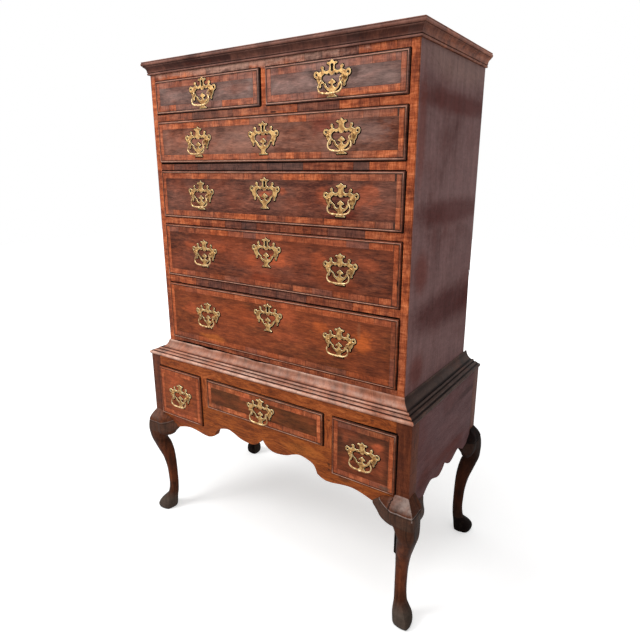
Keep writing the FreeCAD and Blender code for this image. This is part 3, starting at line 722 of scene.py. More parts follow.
SUBSTRATE = WoodFinish(
    "Dark gaps and old dirt", dark=shade(10, 7, 6), middle=shade(16, 10, 8), light=shade(26, 15, 12),
    grain=Grain.X, worn_amount=0.1, worn=shade(34, 20, 16), roughness=0.8, specular=0.0, seed=19.0)
BRASS = MetalFinish("Old brass", bright=shade(206, 164, 104), dull=shade(144, 102, 58),
                    grime_and_shade=shade(46, 30, 16), roughness=0.42, metallic=0.7)
# The bails are a brighter copy of the brass: polished by hands, and a painted highlight.
BAIL_BRASS = replace(BRASS, name="Brass of the bails", bright=shade(228, 198, 146), dull=shade(160, 120, 74),
                     metallic=0.65)
IRON = MetalFinish("Lock iron", bright=shade(120, 116, 110), dull=shade(72, 58, 48),
                   grime_and_shade=shade(40, 28, 22), roughness=0.55, metallic=0.9)


class Finishes:
    """Every material of the chest, made once and fetched by its finish."""

    def __init__(self) -> None:
        """Build the shared groups."""
        self.effects = SharedEffects()
        self._made: dict[str, Material] = {}

    def of(self, finish: WoodFinish | MetalFinish) -> Material:
        """The material of a finish.

        Args:
            finish: The finish.

        Returns:
            Its material.
        """
        if finish.name not in self._made:
            self._made[finish.name] = finish.material(self.effects)
        return self._made[finish.name]


# --- meshes -------------------------------------------------------------------------------------
@dataclass(frozen=True)
class Leaf:
    """One leaf of veneer: its tone and greyness, its part of the log, its grain's turn and its kind."""

    tone: float = 0.0
    grey: float = 0.0
    seed: float = 0.0
    turn: float = 0.0
    kind: float = 0.0


def linked(name: str, data: ID) -> Object:
    """A new object of the scene with this data.

    Args:
        name: Its name.
        data: A mesh, a curve, a lamp or a camera.

    Returns:
        The object.
    """
    made = bpy.data.objects.new(name, data)
    bpy.context.scene.collection.objects.link(made)
    return made


def write_attributes(mesh: Mesh, domain: str, leaves: Sequence[float],
                     wear_and_light: Sequence[float]) -> None:
    """Store what the finishes read, four values to each corner or point."""
    for name, values in ((LEAF_DATA, leaves), (WEAR_AND_LIGHT_DATA, wear_and_light)):
        mesh.color_attributes.new(name, "FLOAT_COLOR", domain).data.foreach_set("color", values)


def circle(radius: float, count: int) -> list[Point2]:
    """Points of a circle round the origin."""
    angles = (math.tau * n / count for n in range(count))
    return [(radius * math.cos(angle), radius * math.sin(angle)) for angle in angles]


class Shell:
    """Gathers the faces of one piece, with the data that its finish reads."""

    def __init__(self, name: str) -> None:
        """Start an empty piece.

        Args:
            name: Name of the object that it becomes.
        """
        self.name = name
        self.points: list[Point3] = []
        self.wear_and_light: list[Point2] = []
        self.faces: list[tuple[int, ...]] = []
        self.maps: list[list[Point2]] = []
        self.leaves: list[Leaf] = []

    def point(self, place: Point3, rub_and_highlight: float = 0.0, grime_and_shade: float = 0.0) -> int:
        """Add a corner, in millimetres.

        Args:
            place: Its place.
            rub_and_highlight: How bright it is rubbed, with any painted highlight.
            grime_and_shade: How dark it is with dirt and painted shade.

        Returns:
            The corner's number.
        """
        self.points.append(place)
        self.wear_and_light.append((rub_and_highlight, grime_and_shade))
        return len(self.points) - 1

    def face(self, corners: Sequence[int], grain_map: Sequence[Point2] | None = None,
             leaf: Leaf = Leaf()) -> None:
        """Add a face.

        Args:
            corners: Numbers of its corners, anticlockwise from outside.
            grain_map: Along and across the grain for each corner; read from the place if left out.
            leaf: Its veneer.
        """
        self.faces.append(tuple(corners))
        self.maps.append(list(grain_map or (self._flat(self.points[n], leaf) for n in corners)))
        self.leaves.append(leaf)

    @staticmethod
    def _flat(place: Point3, leaf: Leaf) -> Point2:
        """Along and across the grain of an upright leaf.

        Args:
            place: The place.
            leaf: The leaf.

        Returns:
            The two distances.
        """
        c, s = math.cos(leaf.turn), math.sin(leaf.turn)
        run = place[0] + place[1]
        return run * c + place[2] * s, place[2] * c - run * s

    def prism(self, outline: Sequence[Point2], near: float, far: float, leaf: Leaf = Leaf(),
              axis: str = "Y", grime_and_shade: float = 0.0) -> None:
        """Add a straight piece.

        Args:
            outline: Anticlockwise outline; (x, z) for axis Y, (x, y) for axis Z, (y, z) for axis X.
            near: Lower end along the axis.
            far: Upper end along the axis.
            leaf: Its veneer.
            axis: Axis that it is pushed along.
            grime_and_shade: How dark all of it is made.
        """
        place: Callable[[Point2, float], Point3] = {
            "Y": lambda p, d: (p[0], d, p[1]), "Z": lambda p, d: (p[0], p[1], d),
            "X": lambda p, d: (d, p[0], p[1])}[axis]
        first = [self.point(place(p, near), 0.0, grime_and_shade) for p in outline]
        second = [self.point(place(p, far), 0.0, grime_and_shade) for p in outline]
        low, high = (first, second) if axis == "Y" else (second, first)
        self.face(low, leaf=leaf)
        self.face(high[::-1], leaf=leaf)
        for n in range(len(outline)):
            m = (n + 1) % len(outline)
            self.face((low[n], high[n], high[m], low[m]), leaf=leaf)

    def box(self, x: Point2, y: Point2, z: Point2, leaf: Leaf = Leaf()) -> None:
        """Add a box from its (low, high) pairs."""
        self.prism([(x[0], z[0]), (x[1], z[0]), (x[1], z[1]), (x[0], z[1])], y[0], y[1], leaf)

    def loft(self, rings: Sequence[Sequence[Point3]]) -> None:
        """Add a skin through rings of the same number of points, closed at both ends.

        Args:
            rings: The rings, in order.
        """
        numbers = [[self.point(place) for place in ring] for ring in rings]
        for low, high in zip(numbers, numbers[1:]):
            for n in range(len(low)):
                m = (n + 1) % len(low)
                self.face((low[n], low[m], high[m], high[n]))
        self.face(numbers[0][::-1])
        self.face(numbers[-1])

    def build(self, material: Material, smooth: float) -> Object:
        """Make the object.

        Args:
            material: Its finish.
            smooth: Edges flatter than this many degrees are shaded smooth; 0 keeps all faces flat.

        Returns:
            The object, at the origin, with its place in its mesh.
        """
        mesh = bpy.data.meshes.new(self.name)
        mesh.from_pydata([tuple(v * MM for v in p) for p in self.points], [], self.faces)
        grain, leaf_data, wear_and_light_data = [], [], []
        for corners, places, leaf in zip(self.faces, self.maps, self.leaves):
            for corner, place in zip(corners, places):
                grain.extend((place[0] * MM, place[1] * MM))
                leaf_data.extend((leaf.tone, leaf.grey, leaf.seed, 1.0))
                wear_and_light_data.extend((*self.wear_and_light[corner], leaf.kind, 1.0))
        mesh.uv_layers.new(name=GRAIN_MAP).data.foreach_set("uv", grain)
        write_attributes(mesh, "CORNER", leaf_data, wear_and_light_data)
        work = bmesh.new()
        work.from_mesh(mesh)
        bmesh.ops.recalc_face_normals(work, faces=work.faces)
        for edge in work.edges:
            edge.smooth = len(edge.link_faces) == 2 and edge.calc_face_angle() < math.radians(smooth)
        for face in work.faces:
            face.smooth = smooth > 0
        work.to_mesh(mesh)
        work.free()
        mesh.materials.append(material)
        return linked(self.name, mesh)


def smooth_loop(points: Sequence[tuple], steps: int, closed: bool = True) -> list[tuple]:
    """Round a line through its points; a point with a trailing "c" keeps its corner.

    Args:
        points: Points of any number of parts, each with an optional "c" at its end.
        steps: Pieces between two points.
        closed: Join the last point to the first.

    Returns:
        The finer points.
    """
    sharp = [p[-1] == "c" for p in points]
    clean = [Vector(p[:-1] if p[-1] == "c" else p) for p in points]
    count = len(clean)
    tangents = []
    for n in range(count):
        ahead, behind = ((n + 1) % count, n - 1) if closed else (min(n + 1, count - 1), max(n - 1, 0))
        tangents.append((clean[ahead] - clean[behind]) / 2)
    made = []
    for n in range(count if closed else count - 1):
        m = (n + 1) % count
        a, b = clean[n], clean[m]
        ends = []
        for k in (n, m):
            tangent = (b - a) / 2 if sharp[k] else tangents[k]
            # A tangent much longer than its chord would make the line loop.
            ends.append(tangent * min(1.0, 1.3 * (b - a).length / max(tangent.length, 1e-9)))
        for step in range(steps):
            t = step / steps
            made.append(tuple(a * (2 * t ** 3 - 3 * t ** 2 + 1) + ends[0] * (t ** 3 - 2 * t ** 2 + t)
                              + b * (-2 * t ** 3 + 3 * t ** 2) + ends[1] * (t ** 3 - t ** 2)))
    if not closed:
        made.append(tuple(clean[-1]))
    return made


def within(value: float, low: float = 0.0, high: float = 1.0) -> float:
    """The value, held between two limits."""
    return min(high, max(low, value))


def whole(half: Sequence[tuple]) -> list[tuple]:
    """Both halves of an outline that is the same on its two sides."""
    return list(half) + [(-p[0], *p[1:]) for p in reversed(half) if p[0] > 0]


def sawn_sheet(outlines: Sequence[Sequence[Point2]], thickness: float, chamfer: float,
               grow: float = 0.0, rubbed_and_lit: float = 0.0) -> Mesh:
    """Saw a flat piece, with its holes, and break its edges.

    Args:
        outlines: The outer outline and the holes, in millimetres.
        thickness: Thickness.
        chamfer: Width of the broken edges.
        grow: How far every edge is moved out.
        rubbed_and_lit: How bright the broken edges are, rubbed and with a painted highlight; the sawn walls
            are then dark, with dirt and painted shade.

    Returns:
        The mesh in metres, flat in X and Y with its middle at Z 0.
    """
    curve = bpy.data.curves.new("outline", "CURVE")
    curve.dimensions, curve.fill_mode = "2D", "BOTH"
    curve.extrude = (thickness / 2 - chamfer) * MM
    curve.bevel_depth, curve.bevel_resolution, curve.offset = chamfer * MM, 0, (grow - chamfer) * MM
    for outline in outlines:
        line = curve.splines.new("POLY")
        line.points.add(len(outline) - 1)
        for point, (x, y) in zip(line.points, outline):
            point.co = (x * MM, y * MM, 0.0, 1.0)
        line.use_cyclic_u = True
    holder = linked("outline", curve)
    mesh = bpy.data.meshes.new_from_object(holder.evaluated_get(bpy.context.evaluated_depsgraph_get()))
    bpy.data.objects.remove(holder)
    bpy.data.curves.remove(curve)
    work = bmesh.new()
    work.from_mesh(mesh)
    bmesh.ops.remove_doubles(work, verts=work.verts, dist=0.002 * MM)
    bmesh.ops.recalc_face_normals(work, faces=work.faces)
    wear_and_light = work.loops.layers.float_color.new(WEAR_AND_LIGHT_DATA) if rubbed_and_lit else None
    for face in work.faces:
        face.smooth = False
        if rubbed_and_lit:
            # Sloped faces get rub and painted highlight, upright walls get dirt and painted shade.
            level = abs(face.normal.z)
            kind = (0.0, 0.85, 0.0, 1.0) if level < 0.2 else (rubbed_and_lit if level < 0.95 else 0.0, 0.0, 0.0, 1.0)
            for loop in face.loops:
                loop[wear_and_light] = kind
    work.to_mesh(mesh)
    work.free()
    mesh.materials.clear()
    return mesh


def stood_up(mesh: Mesh, place: Callable[[Vector], Point3]) -> Mesh:
    """Move a flat mesh to its place.

    Args:
        mesh: The flat mesh.
        place: Takes and gives millimetres; only turns and shifts.

    Returns:
        The same mesh.
    """
    for vertex in mesh.vertices:
        vertex.co = [v * MM for v in place(vertex.co / MM)]
    mesh.update()
    return mesh


def object_of(name: str, mesh: Mesh, material: Material) -> Object:
    """An object with this mesh and finish.

    Args:
        name: Its name.
        mesh: Its mesh.
        material: Its finish.

    Returns:
        The object.
    """
    mesh.name = name
    mesh.materials.append(material)
    return linked(name, mesh)


def settle(piece: Object, body: str, slot: str, *nodes: str) -> None:
    """Let a piece ride on its body and stand for its nodes.

    Args:
        piece: The piece.
        body: The body that it moves with.
        slot: Not used.
        *nodes: The nodes that it stands for.
    """
    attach(piece, body)
    if nodes:
        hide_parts(*nodes)
    LOG.info("%s: %d faces on %s", piece.name, len(piece.data.polygons), body)


class Repeater:
    """Sets one small piece at every point of a list, each with its own slight turn."""

    def __init__(self) -> None:
        """Build the tree: the points, the piece on each, one mesh, one finish."""
        tree = bpy.data.node_groups.new("Piece at each point", "GeometryNodeTree")
        face = tree.interface
        face.new_socket("Points", in_out="INPUT", socket_type="NodeSocketGeometry")
        self.inputs = {label: face.new_socket(label, in_out="INPUT", socket_type=kind).identifier
                       for label, kind in (("Piece", "NodeSocketObject"), ("Tilt", "NodeSocketFloat"),
                                           ("Seed", "NodeSocketInt"), ("Finish", "NodeSocketMaterial"))}
        face.new_socket("Pieces", in_out="OUTPUT", socket_type="NodeSocketGeometry")
        graph = Graph(tree)
        start, end = graph.node("NodeGroupInput"), graph.node("NodeGroupOutput")
        least = graph.combine(0.0, graph.math("MULTIPLY", start.outputs["Tilt"], -1.0), 0.0)
        most = graph.combine(0.0, start.outputs["Tilt"], 0.0)
        turn = graph.node("FunctionNodeRandomValue", data_type="FLOAT_VECTOR")
        for socket, value in ((0, least), (1, most), ("Seed", start.outputs["Seed"])):
            graph.feed(turn.inputs[socket], value)
        piece = graph.node("GeometryNodeObjectInfo", {"Object": start.outputs["Piece"], "As Instance": True})
        placed = graph.node("GeometryNodeInstanceOnPoints", {
            "Points": start.outputs["Points"], "Instance": piece.outputs["Geometry"],
            "Rotation": turn.outputs[0]})
        joined = graph.node("GeometryNodeRealizeInstances", {"Geometry": placed.outputs[0]})
        dressed = graph.node("GeometryNodeSetMaterial", {"Geometry": joined.outputs[0],
                                                         "Material": start.outputs["Finish"]})
        graph.feed(end.inputs[0], dressed.outputs[0])
        self.tree = tree

    def place(self, name: str, piece: Mesh, points: Sequence[Point3], material: Material,
              tilt: float = 0.0, seed: int = 1) -> Object:
        """Set the piece at each point.

        Args:
            name: Name of the result.
            piece: The small piece, round its own origin.
            points: Where it goes, in millimetres.
            material: Its finish.
            tilt: The most that one may be turned about Y, in radians.
            seed: Seed of the turns.

        Returns:
            All of them as one plain mesh object.
        """
        pattern = linked(name + "_pattern", piece)
        spots = bpy.data.meshes.new(name + "_points")
        spots.from_pydata([tuple(v * MM for v in p) for p in points], [], [])
        holder = bpy.data.objects.new(name + "_points", spots)
        modifier = holder.modifiers.new("Pieces", "NODES")
        modifier.node_group = self.tree
        for label, value in (("Piece", pattern), ("Tilt", tilt), ("Seed", seed), ("Finish", material)):
            modifier[self.inputs[label]] = value
        bpy.context.scene.collection.objects.link(holder)
        view = bpy.context.evaluated_depsgraph_get()
        mesh = bpy.data.meshes.new_from_object(holder.evaluated_get(view), preserve_all_data_layers=True,
                                               depsgraph=view)
        holder.modifiers.clear()
        bpy.data.objects.remove(holder)
        bpy.data.objects.remove(pattern)
        mesh.name = name
        return linked(name, mesh)


# --- the drawers' places ------------------------------------------------------------------------
CASE_BODY = "carcase"
CASE_FRONT, CASE_BACK, CASE_HALF_WIDTH = -222.0, 252.0, 475.0
STAND_FRONT, STAND_HALF_WIDTH, CORNER_POST = -272.5, 526.0, 46.4
STAND_TOP, CORNICE_BOTTOM, CASE_TOP = 651.0, 1604.0, 1625.0
SIDE_INNER = 447.2    # from the middle to the inner face of a case side
BANK = 451.2          # half the width of a full bank of drawers
CASE_PULL = 265.5     # from the middle to a long drawer's plate
STAND_PULL = 378.6    # from the middle to a side drawer's plate
FACE_REACH = 4.7      # from a front's plane to the face of its solid
ESCUTCHEON_DROP = 52.0  # from a drawer's top to the level of its keyhole plate


@dataclass(frozen=True)
class Place:
    """Where one drawer front is and what is on it, in millimetres."""

    name: str
    left: float
    right: float
    bottom: float
    top: float
    front: float
    pulls: tuple[float, ...]
    ring: float
    lock: float | None
    plate_only: bool

    @property
    def face(self) -> float:
        """The plane of the solid front's face."""
        return self.front - FACE_REACH

    @property
    def body(self) -> str:
        """The body that the drawer's pieces ride on."""
        return f"{self.name}_drawer"

    @property
    def lock_ring(self) -> float:
        """Ring level of the plate with the keyhole."""
        return self.top - ESCUTCHEON_DROP if self.plate_only else self.ring

    def bails(self) -> list[tuple[str, float]]:
        """The name and middle of each bail.

        Returns:
            A name and an X for each.
        """
        if len(self.pulls) == 1:
            return [(f"{self.name}_bail", self.pulls[0])]
        return [(f"{self.name}_bail_{side}", x) for side, x in zip(("left", "right"), self.pulls)]


PLACES = [
    Place("short_left", -BANK, -11.0, 1483.4, 1584.0, CASE_FRONT, (-235.0,), 1546.5, -235.0, False),
    Place("short_right", 11.0, BANK, 1483.4, 1584.0, CASE_FRONT, (235.0,), 1546.5, 235.0, False),
    *(Place(name, -BANK, BANK, bottom, top, CASE_FRONT, (-CASE_PULL, CASE_PULL), ring, 0.0, True)
      for name, bottom, top, ring in (
          ("long_first", 1331.1, 1460.0, 1405.0), ("long_second", 1153.9, 1305.7, 1241.0),
          ("long_third", 951.6, 1129.7, 1052.0), ("long_fourth", 721.1, 924.0, 838.8))),
    Place("stand_left", -483.6, -273.6, 426.4, 614.0, STAND_FRONT, (-STAND_PULL,), 528.5, None, False),
    Place("stand_centre", -242.0, 242.0, 507.5, 614.0, STAND_FRONT, (0.0,), 568.7, None, False),
    Place("stand_right", 273.6, 483.6, 426.4, 614.0, STAND_FRONT, (STAND_PULL,), 528.5, None, False),
]


# --- drawer fronts ------------------------------------------------------------------------------
@dataclass
class VeneeredFront:
    """The veneer of one drawer front: a field, cross banding round it and a rounded lip.

    The leaves above and below the field are given from the left by their right ends and their tones.
    """

    place: Place
    finish: WoodFinish
    above: tuple[Point2, ...]
    below: tuple[Point2, ...]
    strips: Point2 = (0.85, 0.75)
    field_grey: float = 0.0
    band: float = 18.0
    strip: float = 15.0
    leaf_width: float = 60.0
    strip_joint: float = 0.7
    seed: int = 1
    proud: float = 0.35
    shoulder: float = 7.0
    joint: float = 0.8
    lip_length: float = 26.0
    hole_half: float = 3.0
    hole_rise: Point2 = (6.5, 22.5)
    # Share of the painted highlight on the lip's bottom, right, top and left lengths, as the light falls.
    lip_highlight: tuple[float, float, float, float] = (1.1, 0.1, 0.9, 0.15)
    # The lip's section: inset, depth, rub and grime; the rub is wear with a painted highlight on the crest,
    # the grime dirt with painted shade in the quirk and behind the lip.
    section: tuple[tuple[float, float, float, float], ...] = (
        (7.2, 0.6, 0.0, 0.6), (7.1, -0.1, 0.0, 1.0), (6.0, 0.1, 0.0, 1.0), (5.3, -0.3, 0.0, 0.9),
        (4.7, -0.75, 0.8, 0.0), (4.1, -0.9, 1.0, 0.0), (3.5, -0.8, 0.8, 0.0), (2.9, -0.4, 0.1, 0.3),
        (0.9, 1.2, 0.0, 0.6), (0.1, 2.8, 0.0, 0.8), (-0.1, 4.2, 0.0, 0.9), (1.6, 4.2, 0.0, 1.0),
        (4.0, 2.0, 0.0, 1.0))

    def build(self, finishes: Finishes) -> None:
        """Make the veneer and the lip.

        Args:
            finishes: The materials.
        """
        shell = Shell(f"{self.place.name}_veneer")
        dice = random.Random(self.seed)
        self._banding(shell, dice)
        left, right, bottom, top = self._limits(self.shoulder)
        left, right, bottom, top = left + self.strip, right - self.strip, bottom + self.band, top - self.band
        self._leaf(shell, [(left, bottom), (right, bottom), (right, top), (left, top)],
                   Leaf(0.0, self.field_grey, self.seed * 0.37, 0.0, 1.0))
        self._lip(shell, dice)
        made = shell.build(finishes.of(self.finish), smooth=40.0)
        settle(made, self.place.body, "walnut_veneer")

    def _limits(self, inset: float) -> tuple[float, float, float, float]:
        """Left, right, bottom and top at a distance in from the front's edge."""
        p = self.place
        return p.left + inset, p.right - inset, p.bottom + inset, p.top - inset

    def _banding(self, shell: Shell, dice: random.Random) -> None:
        """Cross banding above and below, between two upright strips.

        Args:
            shell: The piece that it is added to.
            dice: The random draws.
        """
        left, right, bottom, top = self._limits(self.shoulder)
        gap = self.joint / 2
        for stops, low, high in ((self.above, top - self.band + gap, top),
                                 (self.below, bottom, bottom + self.band - gap)):
            at = left + self.strip
            for stop, tone in stops:
                stop = min(stop, right - self.strip)
                count = max(1, round((stop - at) / self.leaf_width))
                for n in range(count):
                    a, c = at + (stop - at) * n / count, at + (stop - at) * (n + 1) / count
                    lean = dice.uniform(-0.5, 0.5)
                    outline = [(a + gap, low), (c - gap, low), (c - gap + lean, high), (a + gap + lean, high)]
                    leaf = self._shade(dice, tone, math.pi / 2 + dice.uniform(-0.08, 0.08))
                    self._leaf(shell, outline, leaf, dice.uniform(-0.04, 0.04))
                at = stop
        for x0, x1, tone in ((left, left + self.strip, self.strips[0]),
                             (right - self.strip, right, self.strips[1])):
            cuts = [bottom, bottom + (top - bottom) * dice.uniform(0.35, 0.65), top]
            a, c = (x0, x1 - self.strip_joint) if x0 == left else (x0 + self.strip_joint, x1)
            for low, high in zip(cuts, cuts[1:]):
                outline = [(a, low + gap), (c, low + gap), (c, high - gap), (a, high - gap)]
                self._leaf(shell, outline, self._shade(dice, tone, math.pi / 2 + dice.uniform(-0.03, 0.03)))

    @staticmethod
    def _shade(dice: random.Random, tone: float, turn: float) -> Leaf:
        """One leaf of banding near a given tone.

        Args:
            dice: The random draws.
            tone: The tone asked for.
            turn: Turn of its grain.

        Returns:
            The leaf.
        """
        tone = within(tone + dice.uniform(-0.1, 0.1))
        grey = max(0.0, dice.uniform(-0.3, 0.35)) * (1.0 - tone)
        return Leaf(tone, grey, dice.uniform(0, 9), turn, 0.5)

    def _leaf(self, shell: Shell, outline: Sequence[Point2], leaf: Leaf, lift: float = 0.0) -> None:
        """One leaf of veneer on the face, left open behind the keyhole.

        Args:
            shell: The piece that it is added to.
            outline: Its (x, z) corners.
            leaf: Its veneer.
            lift: How far it stands off the ground.
        """
        near, far = self.place.face - self.proud - lift, self.place.face + 0.4
        (x0, *_, x1), (z0, *_, z1) = (sorted({point[axis] for point in outline}) for axis in (0, 1))
        hole = self._hole()
        if hole is None or not (x0 < hole[1] and hole[0] < x1 and z0 < hole[3] and hole[2] < z1):
            shell.prism(outline, near, far, leaf)
            return
        columns = [x0] + [x for x in hole[:2] if x0 < x < x1] + [x1]
        rows = [z0] + [z for z in hole[2:] if z0 < z < z1] + [z1]
        for a, c in zip(columns, columns[1:]):
            for low, high in zip(rows, rows[1:]):
                if not (hole[0] < (a + c) / 2 < hole[1] and hole[2] < (low + high) / 2 < hole[3]):
                    shell.prism([(a, low), (c, low), (c, high), (a, high)], near, far, leaf)

    def _hole(self) -> tuple[float, float, float, float] | None:
        """Where the keyhole is.

        Returns:
            Its left, right, bottom and top, or None where there is no lock.
        """
        x, ring = self.place.lock, self.place.lock_ring
        if x is None:
            return None
        return x - self.hole_half, x + self.hole_half, ring + self.hole_rise[0], ring + self.hole_rise[1]

    def _lip(self, shell: Shell, dice: random.Random) -> None:
        """The rounded lip: its section is taken round the front, mitred, in short cross-grain lengths.

        Args:
            shell: The piece that it is added to.
            dice: The random draws.
        """
        p = self.place
        sides = [((p.left, p.bottom), (p.right, p.bottom), (1, 1), (-1, 1)),
                 ((p.right, p.bottom), (p.right, p.top), (-1, 1), (-1, -1)),
                 ((p.right, p.top), (p.left, p.top), (-1, -1), (1, -1)),
                 ((p.left, p.top), (p.left, p.bottom), (1, -1), (1, 1))]
        rings: list[list[int]] = []
        runs: list[float] = []
        run = 0.0
        for (start, end, in_start, in_end), lit in zip(sides, self.lip_highlight):
            length = math.dist(start, end)
            count = max(2, int(length / self.lip_length))
            for n in range(count):
                t = n / count
                ring = []
                for inset, depth, rub_and_highlight, grime_and_shade in self.section:
                    sx, sz = start[0] + in_start[0] * inset, start[1] + in_start[1] * inset
                    ex, ez = end[0] + in_end[0] * inset, end[1] + in_end[1] * inset
                    x, z = sx + (ex - sx) * t, sz + (ez - sz) * t
                    worn = noise.noise(Vector((x * 0.02, z * 0.02, p.ring))) * 0.4
                    nick = max(0.0, noise.noise(Vector((x * 0.09, z * 0.09, 3.0))) - 0.42) * 1.6
                    y = p.face + depth + (nick if rub_and_highlight > 0.35 else 0.0)
                    ring.append(shell.point((x, y, z), within((rub_and_highlight + worn) * lit), min(1.0, grime_and_shade + nick)))
                rings.append(ring)
                runs.append(run + length * t)
            run += length
        girth = [0.0]
        for (i0, d0, *_), (i1, d1, *_) in zip(self.section, self.section[1:] + self.section[:1]):
            girth.append(girth[-1] + math.dist((i0, d0), (i1, d1)))
        leaf = self._lip_leaf(dice)
        for n, ring in enumerate(rings):
            following = rings[(n + 1) % len(rings)]
            if dice.random() < 0.4:
                leaf = self._lip_leaf(dice)
            after = runs[n + 1] if n + 1 < len(runs) else run
            for k in range(len(ring)):
                m = (k + 1) % len(ring)
                shell.face((ring[k], following[k], following[m], ring[m]),
                           ((girth[k], runs[n]), (girth[k], after), (girth[k + 1], after),
                            (girth[k + 1], runs[n])), leaf)

    @staticmethod
    def _lip_leaf(dice: random.Random) -> Leaf:
        """The veneer of one short length of the lip."""
        return Leaf(dice.uniform(0.0, 0.3), 0.0, dice.uniform(0, 9))


# --- brasses ------------------------------------------------------------------------------------
@dataclass
class PlateShape:
    """The pierced plate, from its middle at the level of its end rings."""

    thickness: float = 1.35
    chamfer: float = 0.6
    edge: tuple[tuple, ...] = (
        (0, 33.6), (3.0, 31.7), (5.2, 29.0), (9.6, 27.9), (13.4, 28.1), (15.8, 26.4), (15.4, 23.7),
        (12.0, 22.9), (8.9, 21.0), (8.1, 16.0), (9.2, 10.9), (13.6, 7.6), (19.2, 7.2), (23.6, 8.6),
        (26.0, 11.0), (25.2, 14.2), (25.9, 17.4), (28.6, 19.9), (32.2, 19.8), (34.6, 17.2), (34.2, 13.6),
        (31.6, 11.4), (32.4, 8.6), (36.6, 7.0), (41.0, 5.4), (43.6, 7.2), (48.2, 9.0), (53.6, 7.4),
        (56.6, 2.4), (55.8, -3.4), (51.6, -7.4), (48.0, -8.6), (47.0, -12.4), (45.6, -17.2), (43.0, -20.6),
        (40.8, -23.4), (40.4, -26.2), (40.6, -29.4), (38.0, -31.8), (34.6, -30.8), (33.6, -27.6),
        (34.0, -24.6), (32.2, -21.8), (28.6, -21.6), (25.6, -25.0), (22.6, -30.6), (17.6, -36.0),
        (12.6, -39.6), (8.6, -42.6), (7.4, -46.6), (8.4, -50.2), (12.0, -52.8), (15.9, -53.9, "c"),
        (15.7, -56.0, "c"))
    opening: tuple[tuple, ...] = (
        (0, -4.0), (3.8, -2.6), (7.6, 0.4), (10.0, 3.0, "c"), (12.2, 0.6), (15.6, -0.6), (19.2, 0.4),
        (22.4, 2.6, "c"), (25.0, -0.2), (28.8, -2.4), (31.5, -6.4), (31.3, -11.6), (28.4, -16.6),
        (23.8, -19.8), (19.8, -22.6), (17.6, -26.4), (15.0, -30.8), (10.4, -32.8), (6.2, -31.2),
        (3.0, -27.4), (3.8, -24.4), (8.0, -23.4), (11.6, -21.6, "c"), (9.0, -18.2), (5.0, -15.6),
        (2.2, -12.8), (0, -12.2))
    eye: tuple[float, float, float] = (48.4, 0.6, 3.3)
    keyhole: tuple[Point2, ...] = (
        (0, 24.6), (3.0, 23.9), (4.5, 21.4), (4.3, 18.4), (3.6, 16.6), (3.5, 6.0), (0, 5.6))

    def mesh(self, keyed: bool, shadow_film: bool = False) -> Mesh:
        """The plate's mesh, standing up, with its back at Y 0.

        Args:
            keyed: Cut the keyhole.
            shadow_film: Make instead the dark sheet under the plate: dirt round its edge and a painted
                shadow, and black behind its keyhole and rings.

        Returns:
            The mesh.
        """
        outlines = [smooth_loop(whole(self.edge), 3), smooth_loop(whole(self.opening), 3)[::-1]]
        # Painted shadow: the sheet is grown and moved right and down, where the plate's shadow falls.
        if shadow_film:
            flat = sawn_sheet(outlines, 0.1, 0.0, 2.3)
            return stood_up(flat, lambda v: (v[0] + 0.8, -v[2] - 0.04, v[1] - 0.9))
        x, z, radius = self.eye
        for side in (-1, 1):
            outlines.append([(side * x + across, z + up) for across, up in circle(radius, 12)])
        if keyed:
            outlines.append(whole(self.keyhole))
        flat = sawn_sheet(outlines, self.thickness, self.chamfer, rubbed_and_lit=0.9)
        return stood_up(flat, lambda v: (v[0], -v[2] - self.thickness / 2, v[1]))


